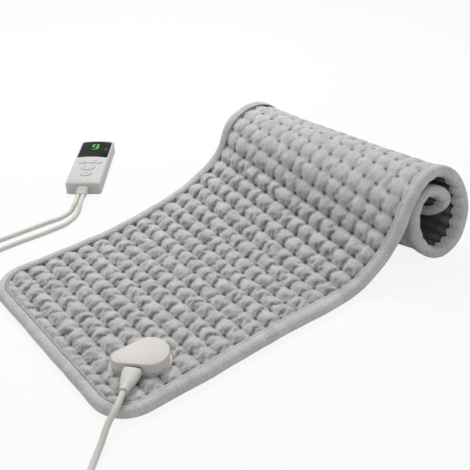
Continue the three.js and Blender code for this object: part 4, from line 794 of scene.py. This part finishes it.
# %% [markdown]
# ## The cover below and the sheet between
# The lower cover is plain plush that lies on the floor and shows inside the roll. On the inner side of the
# roll the cloth is too long, so it gathers in soft puckers between the sewn rows, which a few crossing
# waves describe, and its colour is darkened there with painted shade, deepest between the puckers. Between
# the covers lies a thin felt sheet, with the heating wire sewn on to it.

# %% Build the lower cover
ROLL_SHADE_STRENGTH, GATHER_DEEPEST, GATHER_CLEAR, ROOM_LIMIT, LOWER_TOP = 0.9, 4.5, 3, 0.02, 4.6
lower_s = np.linspace(RIM_INSET, PAD_LENGTH - RIM_INSET, 330)
lower_v = np.linspace(RIM_INSET - PAD_WIDTH / 2, PAD_WIDTH / 2 - RIM_INSET, 91)
wide_s, wide_v = np.meshgrid(lower_s, lower_v, indexing="ij")


def puckers(s, v):
    wander = 5 * np.sin(v / 37 + s / 71) + 3 * np.sin(v / 17 - s / 53)
    gathers = np.abs(np.sin(np.pi * (s + wander - END_MARGIN) / (0.75 * CELL_LENGTH)))
    uneven = 0.75 + 0.25 * np.sin(v / 23 + s / 31)
    return gathers**0.7 * uneven


cover_tree = BVHTree.FromPolygons(
    [v.co for v in cover_mesh.vertices], [tuple(p.vertices) for p in cover_mesh.polygons]
)


def free_depth(s, v):
    places = on_sheet(s, v, 0) * MM
    found = [cover_tree.find_nearest(place, ROOM_LIMIT)[3] for place in places.reshape(-1, 3)]
    room = np.array([ROOM_LIMIT if gap is None else gap for gap in found]).reshape(s.shape) / MM
    return np.clip(room - GATHER_CLEAR, 0, GATHER_DEEPEST) * smooth(s - roll_start(v), 0, 60)


low_s, low_v = rounded_in(wide_s, wide_v)
gather = puckers(wide_s, wide_v)
depth = free_depth(low_s, low_v)
in_roll = smooth(wide_s - roll_start(wide_v), 0, 60)
tucked = 1 - smooth(edge_distance(low_s, low_v), TAPE, TAPE + 4)
low_height = 0.15 + 0.35 * gather * (1 - in_roll) + 0.4 * in_roll - depth * gather
low_height = low_height * (1 - tucked) + 2.6 * tucked
# Painted shade inside the roll, deepest between the puckers
painted_roll_shade = ROLL_SHADE_STRENGTH * in_roll * (0.45 + 0.55 * (1 - gather))
lower_mesh = layer_mesh(
    "lower_cover",
    np.stack([wide_s, wide_v], -1),
    0 * wide_s,
    on_sheet(low_s, low_v, LOWER_TOP),
    on_sheet(low_s, low_v, low_height),
    under_painted_shade=painted_roll_shade,
)
lower_cover = show("lower_cover", lower_mesh, PLUSH_UNDER, "pad", "plush", "pad_bottom_cover")
print("lower cover faces", len(lower_mesh.polygons))

# %% Lay the felt sheet
felt_s = np.linspace(END_MARGIN, PAD_LENGTH - END_MARGIN, 145)
felt_v = np.linspace(SIDE_MARGIN - PAD_WIDTH / 2, PAD_WIDTH / 2 - SIDE_MARGIN, 29)
felt_grid = np.meshgrid(felt_s, felt_v, indexing="ij")
felt_at = rounded_in(*felt_grid)
felt_mesh = layer_mesh(
    "felt_sheet", np.stack(felt_grid, -1), 0 * felt_grid[0], on_sheet(*felt_at, 5.7), on_sheet(*felt_at, 4.9)
)
felt_sheet = show("felt_sheet", felt_mesh, FELT, "pad", "felt", "heating_carrier")

# %% [markdown]
# ## The binding
# A tape of the same plush is folded over the edge of all the layers and sewn through. One section of the
# fold is carried round the rounded outline. It waves a little between the stitches, a shallow groove shows
# where the thread pulls it down, with painted shade along it and under the tape's inner edge, the near long
# edge flares out slightly, and inside the roll its inner half is gathered in puckers like the cover next to
# it. Under the lead it is pressed flat, so that the boot clears it when the plug is pulled.


# %% Build the edge binding
def outline_places(step):
    low, high = FRONT_CORNER, PAD_LENGTH - ROLLED_CORNER
    front, rolled = PAD_WIDTH / 2 - FRONT_CORNER, PAD_WIDTH / 2 - ROLLED_CORNER
    runs = []
    for start, stop, heading in (
        ((low, rolled), (high, rolled), 90),
        ((high, rolled), (high, -rolled), 0),
        ((high, -front), (low, -front), -90),
        ((low, -front), (low, front), -180),
    ):
        radius = ROLLED_CORNER if stop[0] == high else FRONT_CORNER
        count = int(math.dist(start, stop) / step)
        straight_run = np.linspace(start, stop, count)
        own = ROLLED_CORNER if heading in (90, 0) else FRONT_CORNER
        runs.append(np.column_stack([straight_run, np.full(count, heading), np.full(count, own)]))
        bend = heading - np.linspace(0, 90, int(radius * 1.57 / step) + 2)[1:-1]
        centre = (stop[0], np.sign(stop[1]) * (PAD_WIDTH / 2 - radius))
        runs.append(np.column_stack([np.tile(centre, (len(bend), 1)), bend, np.full(len(bend), radius)]))
    return np.concatenate(runs)


STATION_STEP = 3.0
stations = outline_places(STATION_STEP)
SECTION = np.array([
    (0.0, 11.7), (1.6, 12.3), (3.0, 11.9), (4.4, 12.5), (6.2, 12.95), (8.4, 13.0), (10.6, 12.5), (12.5, 11.2),
    (13.8, 9.0), (14.4, 6.6), (14.3, 4.2), (13.3, 2.0), (11.6, 0.7), (9.2, 0.15), (6.6, 0.1), (4.4, 0.2),
    (3.0, 0.6), (1.6, 0.2), (0.0, 0.3),
    (0.0, 1.2), (10.2, 1.3), (12.0, 2.2), (13.0, 4.2), (13.2, 6.4), (13.0, 8.6), (11.8, 10.4), (9.8, 11.3),
    (0.0, 11.2),
])  # fmt: skip
OUTER_SKIN, TAPE_UNDER_BOOT, UPPER_SEAM, UNDER_SEAM, SUNK = 19, 11.7, 2, 16, 0.5


def along_outline(u):
    heading, radius = np.radians(stations[:, 2])[:, None], stations[:, 3:]
    out = radius - TAPE + u
    s = stations[:, :1] + out * np.cos(heading)
    v = stations[:, 1:2] + out * np.sin(heading)
    return s, v


run = np.arange(len(stations))[:, None] * STATION_STEP
weave = 0.5 * np.sin(run / 7.3 + 1.1 * np.sin(run / 41)) + 0.5 * np.sin(run / 17.9 + 2)
skin = (np.arange(len(SECTION)) < OUTER_SKIN)[None, :]
u, h = SECTION[None, :, 0], SECTION[None, :, 1]
edge_s, edge_v = along_outline(np.full((1, 1), TAPE))
near_side = smooth(-edge_v, 140, 153)
flare = near_side * smooth(edge_s, 50, 130) * (1 - smooth(edge_s, 300, 345))
flare = flare * (2.5 + 1.5 * np.exp(-(((edge_s - 272) / 30) ** 2)))
edge_depth = free_depth(edge_s, edge_v)
edge_gather = puckers(edge_s, edge_v)
inner_half = skin * np.clip((7 - h) / 5, 0, 1)
wave_u = u + 0.35 * weave * skin + flare * np.clip(u / TAPE, 0, 1)
wave_u = wave_u + inner_half * edge_depth * (0.4 - 0.8 * edge_gather) * np.clip(1 - u / 16, 0.2, 1)
wave_h = h + 0.25 * weave * skin * (h > 7) - inner_half * edge_depth * edge_gather
tape_s, tape_v = along_outline(wave_u)
tape_boot = from_connector(tape_s, tape_v)[3]
wave_h = under_boot(wave_h, tape_boot, TAPE_UNDER_BOOT)
floor_limit = np.where(edge_depth > 0, -9.0, 0.05)
tape_points = on_sheet(tape_s, tape_v, np.maximum(wave_h, floor_limit))
tape_points[..., 2] = np.maximum(tape_points[..., 2], 0.1)
ring = len(SECTION)
index = np.arange(len(stations) * ring).reshape(len(stations), ring)
around, ahead = np.roll(index, -1, axis=1), np.roll(index, -1, axis=0)
both = np.roll(around, -1, axis=0)
tape_faces = np.stack([index, ahead, both, around], -1).reshape(-1, 4)
tape_mesh = bpy.data.meshes.new("edge_tape")
tape_mesh.from_pydata((tape_points.reshape(-1, 3) * MM).tolist(), [], tape_faces.tolist())
tape_flat = np.stack([run + 0 * tape_s, 40 * np.arange(ring)[None, :] / ring + 0 * tape_s], -1)
lay_uv(tape_mesh, tape_flat.reshape(-1, 2) * MM)
# Painted shade along both seams and under the tape's two inner edges, weaker where the seam is hidden
painted_seam_shade = np.isin(np.arange(ring), (UPPER_SEAM, UNDER_SEAM)) * 0.5 + np.isin(np.arange(ring), (0, 18)) * 0.6
hidden_seam = np.maximum(near_side, smooth(edge_s - roll_start(edge_v), -120, 0))
mark_painted_shade(tape_mesh, painted_seam_shade * (1 - 0.7 * hidden_seam))
tape_mesh.shade_smooth()
shape = bmesh.new()
shape.from_mesh(tape_mesh)
bmesh.ops.recalc_face_normals(shape, faces=shape.faces)
shape.to_mesh(tape_mesh)
shape.free()
tape = show("edge_tape", tape_mesh, PLUSH_TAPE, "pad", "plush", "edge_binding")
print("tape stations", len(stations))

# %% [markdown]
# ## Stitches
# A row of thread holds the tape down on both faces. Each stitch is the same small pill that follows the
# seam, which is what Geometry Nodes are for: the seam line is cut at even steps, a pill is put on each
# step and turned along the line.

# %% Build the stitch tree
stitch_tree = bpy.data.node_groups.new("row_of_stitches", "GeometryNodeTree")
stitch_tree.interface.new_socket("Geometry", in_out="INPUT", socket_type="NodeSocketGeometry")
for label, kind, value in (
    ("Step", "NodeSocketFloat", 3.6 * MM),
    ("Length", "NodeSocketFloat", 2.6 * MM),
    ("Thickness", "NodeSocketFloat", 0.55 * MM),
    ("Thread", "NodeSocketMaterial", None),
):
    socket = stitch_tree.interface.new_socket(label, in_out="INPUT", socket_type=kind)
    if value is not None:
        socket.default_value = value
stitch_tree.interface.new_socket("Geometry", in_out="OUTPUT", socket_type="NodeSocketGeometry")


def geometry_node(kind, **links):
    node = stitch_tree.nodes.new(kind)
    for label, value in links.items():
        socket = node.inputs[label.replace("_", " ")]
        if isinstance(value, bpy.types.NodeSocket):
            stitch_tree.links.new(value, socket)
        else:
            socket.default_value = value
    return node


stitch_in = stitch_tree.nodes.new("NodeGroupInput").outputs
seam = geometry_node("GeometryNodeMeshToCurve", Mesh=stitch_in["Geometry"])
stepped = stitch_tree.nodes.new("GeometryNodeResampleCurve")
stepped.mode = "LENGTH"
stitch_tree.links.new(seam.outputs["Curve"], stepped.inputs["Curve"])
stitch_tree.links.new(stitch_in["Step"], stepped.inputs["Length"])
tangent = stitch_tree.nodes.new("GeometryNodeInputTangent")
turn_along = stitch_tree.nodes.new("FunctionNodeAlignRotationToVector")
turn_along.axis = "X"
stitch_tree.links.new(tangent.outputs["Tangent"], turn_along.inputs["Vector"])
pill = geometry_node("GeometryNodeMeshUVSphere", Segments=8, Rings=5, Radius=0.5)
pill_size = stitch_tree.nodes.new("ShaderNodeCombineXYZ")
stitch_tree.links.new(stitch_in["Length"], pill_size.inputs["X"])
stitch_tree.links.new(stitch_in["Thickness"], pill_size.inputs["Y"])
stitch_tree.links.new(stitch_in["Thickness"], pill_size.inputs["Z"])
placed = geometry_node(
    "GeometryNodeInstanceOnPoints",
    Points=stepped.outputs["Curve"],
    Instance=pill.outputs["Mesh"],
    Rotation=turn_along.outputs["Rotation"],
    Scale=pill_size.outputs["Vector"],
)
realised = geometry_node("GeometryNodeRealizeInstances", Geometry=placed.outputs["Instances"])
threaded = geometry_node(
    "GeometryNodeSetMaterial", Geometry=realised.outputs["Geometry"], Material=stitch_in["Thread"]
)
stitch_out = stitch_tree.nodes.new("NodeGroupOutput")
stitch_tree.links.new(threaded.outputs["Geometry"], stitch_out.inputs["Geometry"])
print("stitch nodes", len(stitch_tree.nodes))


# %% Sew the binding
def set_input(modifier, label, value):
    for item in modifier.node_group.interface.items_tree:
        if item.name == label and item.in_out == "INPUT":
            modifier[item.identifier] = value


def grown_mesh(piece):
    evaluated = piece.evaluated_get(bpy.context.evaluated_depsgraph_get())
    return bpy.data.meshes.new_from_object(evaluated)


def sew(name, k, thread):
    line = tape_points[:, k] + 0.15 * np.sign(SECTION[k, 1] - 6) * np.array([0, 0, 1])
    line[:, 2] = np.maximum(line[:, 2] - SUNK * hidden_seam[:, 0] * (k == UPPER_SEAM), 0.4)
    edges = [(i, (i + 1) % len(line)) for i in range(len(line))]
    seam_mesh = bpy.data.meshes.new(name)
    seam_mesh.from_pydata((line * MM).tolist(), edges, [])
    seam_object = bpy.data.objects.new(name + "_seam", seam_mesh)
    bpy.context.scene.collection.objects.link(seam_object)
    sewing = seam_object.modifiers.new("sewing", "NODES")
    sewing.node_group = stitch_tree
    set_input(sewing, "Thread", thread)
    set_input(sewing, "Step", 3.6 * MM)
    stitch_mesh = grown_mesh(seam_object)
    bpy.data.objects.remove(seam_object)
    stitch_mesh.shade_smooth()
    print(name, "faces", len(stitch_mesh.polygons))
    return show(name, stitch_mesh, thread, "pad", "plush")


stitches = sew("binding_stitches", UPPER_SEAM, THREAD)
under_stitches = sew("under_stitches", UNDER_SEAM, THREAD_UNDER)

# %% [markdown]
# ## Marks on the controller
# The keys carry thin printed marks: two open triangles on the rocker, four small signs on the round key and
# the usual stand-by sign on the power key. Each mark is a thin ribbon that is dropped on to the key below
# it, so it follows the crowned face, and it rides with that key.


# %% Make helpers for marks
def key_surface(node):
    mesh = nodes[node].data
    points = [v.co.copy() for v in mesh.vertices]
    return BVHTree.FromPolygons(points, [list(p.vertices) for p in mesh.polygons])


def settled(points, surface, lift):
    placed = from_case(np.column_stack([points, np.full(len(points), 60.0)])) * MM
    heights = []
    for place in placed:
        hit = surface.ray_cast(Vector(place), Vector((0, 0, -1)))[0]
        heights.append(hit.z + lift * MM if hit else 0.0)
    placed[:, 2] = heights
    return placed


def ribbon(line, width, closed=False):
    line = np.array(line, float)
    if closed:
        line = np.vstack([line, line[:1]])
    fine = [line[0]]
    for a, b in zip(line, line[1:]):
        steps = max(int(np.hypot(*(b - a)) / 0.5), 1)
        fine += [a + (b - a) * (k + 1) / steps for k in range(steps)]
    fine = np.array(fine)
    if closed:
        fine = fine[:-1]
        ahead, back = np.roll(fine, -1, axis=0), np.roll(fine, 1, axis=0)
    else:
        ahead, back = np.vstack([fine[1:], fine[-1:]]), np.vstack([fine[:1], fine[:-1]])
    one, two = ahead - fine, fine - back
    for part in (one, two):
        size = np.hypot(part[:, 0], part[:, 1])[:, None]
        part /= np.maximum(size, 1e-9)
    mean = one + two
    mean /= np.maximum(np.hypot(mean[:, 0], mean[:, 1])[:, None], 1e-9)
    side = np.column_stack([-mean[:, 1], mean[:, 0]])
    way = np.where(np.abs(one).sum(1, keepdims=True) > 0, one, two)
    open_by = np.clip(np.abs((mean * way).sum(1)), 0.5, 1)
    reach = (width / 2 / open_by)[:, None]
    points = np.vstack([fine + side * reach, fine - side * reach])
    count = len(fine)
    last = count if closed else count - 1
    faces = [(k, count + k, count + (k + 1) % count, (k + 1) % count) for k in range(last)]
    return points, faces


def printed(name, shapes, node, material, slot, lift=0.06):
    points, faces = [], []
    for shape_points, shape_faces in shapes:
        first = sum(len(p) for p in points)
        points.append(shape_points)
        faces += [tuple(first + k for k in face) for face in shape_faces]
    mesh = bpy.data.meshes.new(name)
    mesh.from_pydata(settled(np.vstack(points), key_surface(node), lift).tolist(), [], faces)
    piece = show(name, mesh, material, body_of(nodes[node])[0], slot)
    body = piece.modifiers.new("ink", "SOLIDIFY")
    body.thickness = 0.1 * MM
    body.offset = -1
    return piece


def ring_line(x, y, radius, start=0, stop=360, steps=24):
    sweep = np.radians(np.linspace(start, stop, steps))
    return np.column_stack([x + radius * np.cos(sweep), y + radius * np.sin(sweep)])


# %% Print the key marks
LINE = 0.55
up_mark = ribbon([(-10.8, -7.4), (-6.4, -7.4), (-8.6, -3.4)], LINE, closed=True)
down_mark = ribbon([(6.4, -3.6), (10.8, -3.6), (8.6, -7.6)], LINE, closed=True)
rocker_marks = printed("rocker_marks", [up_mark, down_mark], "level_rocker", INK, "case")
mode_marks = printed(
    "mode_marks",
    [
        ribbon([(-6.2, -27.6), (-2.8, -27.6)], LINE),
        ribbon([(-4.5, -29.3), (-4.5, -25.9)], LINE),
        ribbon([(3.0, -27.6), (6.0, -27.6)], LINE),
        ribbon(ring_line(-4.3, -20.2, 1.6)[:-1], LINE * 0.8, closed=True),
        ribbon([(-4.3, -20.2), (-4.3, -18.9)], LINE * 0.8),
        ribbon([(3.0, -21.4), (4.5, -19.0), (6.0, -21.4)], LINE * 0.8),
    ],
    "mode_button",
    INK,
    "case",
)
power_marks = printed(
    "power_marks",
    [
        ribbon(ring_line(0, -45.2, 2.9, 125, 415, 40), 0.7),
        ribbon([(0, -44.8), (0, -41.4)], 0.7),
    ],
    "power_button",
    INK,
    "case",
)
print("marks", rocker_marks.name, mode_marks.name, power_marks.name)

# %% [markdown]
# ## The lit display
# Behind the black lens a green seven-segment digit shows the heat level, with one small lamp beside it.
# Each lit bar is a flat six-sided shape on the lens, with a green that gives light of its own.

# %% Light the display
GREEN, green_tree, green_shader = new_material("display_green")
green_where = green_tree.nodes.new("ShaderNodeTexCoord").outputs["Object"]
green_grain = noise_in(green_tree, green_where, 700.0)
green_tone = mix_colours(green_tree, green_grain, linear(60, 225, 70), linear(110, 250, 105))
green_tree.links.new(green_tone, green_shader.inputs["Emission Color"])
green_shader.inputs["Base Color"].default_value = linear(40, 120, 45)
green_shader.inputs["Emission Strength"].default_value = 0.75
green_shader.inputs["Roughness"].default_value = 0.3


def bar(start, end, width):
    start, end = np.array(start, float), np.array(end, float)
    way = (end - start) / np.hypot(*(end - start))
    side = np.array([-way[1], way[0]]) * width / 2
    tip = way * width / 2
    corners = [start, start + tip + side, end - tip + side, end, end - tip - side, start + tip - side]
    return np.array(corners), [tuple(range(6))[::-1]]


DIGIT_LEFT, DIGIT_RIGHT, DIGIT_LOW, DIGIT_MIDDLE, DIGIT_HIGH, BAR = -4.5, 4.1, 39.6, 47.8, 56.0, 1.9
gap = 0.25
digit_bars = [
    bar((DIGIT_LEFT + gap, DIGIT_HIGH), (DIGIT_RIGHT - gap, DIGIT_HIGH), BAR),
    bar((DIGIT_LEFT + gap, DIGIT_MIDDLE), (DIGIT_RIGHT - gap, DIGIT_MIDDLE), BAR),
    bar((DIGIT_LEFT + gap, DIGIT_LOW), (DIGIT_RIGHT - gap, DIGIT_LOW), BAR),
    bar((DIGIT_LEFT, DIGIT_MIDDLE + gap), (DIGIT_LEFT, DIGIT_HIGH - gap), BAR),
    bar((DIGIT_RIGHT, DIGIT_MIDDLE + gap), (DIGIT_RIGHT, DIGIT_HIGH - gap), BAR),
    bar((DIGIT_RIGHT, DIGIT_LOW + gap), (DIGIT_RIGHT, DIGIT_MIDDLE - gap), BAR),
]
lamp_rim = ring_line(18.2, 41.2, 0.9)[:-1]
lamp = (lamp_rim, [tuple(range(len(lamp_rim)))])
digit = printed("display_digit", [*digit_bars, lamp], "display_lens", GREEN, "lens", 0.05)
print("lit shapes", len(digit_bars) + 1)

# %% [markdown]
# ## What lies inside
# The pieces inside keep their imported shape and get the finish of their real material, because the part can
# be opened: brass contacts, steel screws, a green board, dark components, felt and the sheathed wire.

# %% Finish the inner pieces
INNER = {
    "heating_wire": WIRE_SHEATH, "thermal_cutout": DARK_PLASTIC,
    "connector_screw_1": STEEL, "connector_screw_2": STEEL, "socket_block": DARK_PLASTIC,
    "socket_pin_1": BRASS, "socket_pin_2": BRASS, "feed_wires": WIRE_SHEATH,
    "lead_plug": DARK_PLASTIC, "plug_sleeve_1": BRASS, "plug_sleeve_2": BRASS,
    "case_screw_1": STEEL, "case_screw_2": STEEL, "case_screw_3": STEEL, "case_screw_4": STEEL,
    "display_module": DARK_PLASTIC, "circuit_board": BOARD_GREEN, "power_relay": DARK_PLASTIC,
    "key_switch_up": DARK_PLASTIC, "key_switch_down": DARK_PLASTIC, "key_switch_mode": DARK_PLASTIC,
    "key_switch_power": DARK_PLASTIC,
}  # fmt: skip
for node, material in INNER.items():
    nodes[node].data.materials.clear()
    nodes[node].data.materials.append(material)
print("inner pieces", len(INNER))

# %% [markdown]
# ## Floor and light
# The pad lies on a plain white ground under soft studio light. A large lamp stands high behind the pad, so
# the pillows are bright on their far side and shade falls towards the camera, and an even white world fills
# in. The ground is white to the camera and still takes the shadow.


# %% Build the stage
def seen_in(tree):
    path = tree.nodes.new("ShaderNodeLightPath").outputs
    seen = math_in(tree, "MAXIMUM", path["Is Camera Ray"], path["Is Glossy Ray"])
    return math_in(tree, "MAXIMUM", seen, path["Is Transmission Ray"])


FLOOR_WHITE, FILL_LIGHT = 0.88, 0.6
floor_mesh = bpy.data.meshes.new("floor")
FLOOR_HALF = 4.0
floor_corners = [(FLOOR_HALF * x, FLOOR_HALF * y, 0) for x, y in ((-1, -1), (1, -1), (1, 1), (-1, 1))]
floor_mesh.from_pydata(floor_corners, [], [(0, 1, 2, 3)])
floor = bpy.data.objects.new("floor", floor_mesh)
bpy.context.scene.collection.objects.link(floor)
floor_material = bpy.data.materials.new("white_ground")
floor_material.use_nodes = True
floor_tree = floor_material.node_tree
floor_tree.nodes.clear()
matt = floor_tree.nodes.new("ShaderNodeBsdfDiffuse")
matt.inputs["Color"].default_value = (0.8, 0.8, 0.8, 1)
white = floor_tree.nodes.new("ShaderNodeEmission")
white.inputs["Strength"].default_value = 1.0
share = math_in(floor_tree, "MULTIPLY", seen_in(floor_tree), FLOOR_WHITE)
blend = floor_tree.nodes.new("ShaderNodeMixShader")
floor_tree.links.new(share, blend.inputs["Fac"])
floor_tree.links.new(matt.outputs["BSDF"], blend.inputs[1])
floor_tree.links.new(white.outputs["Emission"], blend.inputs[2])
floor_out = floor_tree.nodes.new("ShaderNodeOutputMaterial")
floor_tree.links.new(blend.outputs["Shader"], floor_out.inputs["Surface"])
floor_mesh.materials.append(floor_material)

world = bpy.data.worlds.new("studio")
bpy.context.scene.world = world
world.use_nodes = True
world_tree = world.node_tree
background = world_tree.nodes["Background"]
background.inputs["Color"].default_value = (1, 1, 1, 1)
fill = range_in(world_tree, seen_in(world_tree), 0, 1, FILL_LIGHT, 1.0)
world_tree.links.new(fill, background.inputs["Strength"])


def studio_lamp(name, place, aim, size, power):
    data = bpy.data.lights.new(name, "AREA")
    data.shape = "DISK"
    data.size = size
    data.energy = power
    stand = bpy.data.objects.new(name, data)
    stand.location = place
    stand.rotation_mode = "QUATERNION"
    stand.rotation_quaternion = (Vector(aim) - Vector(place)).to_track_quat("-Z", "Y")
    bpy.context.scene.collection.objects.link(stand)
    return stand


key_lamp = studio_lamp("high_key", (0.42, 0.85, 1.15), (0.05, 0.0, 0.0), 0.6, 12)
print("lamp", key_lamp.name)
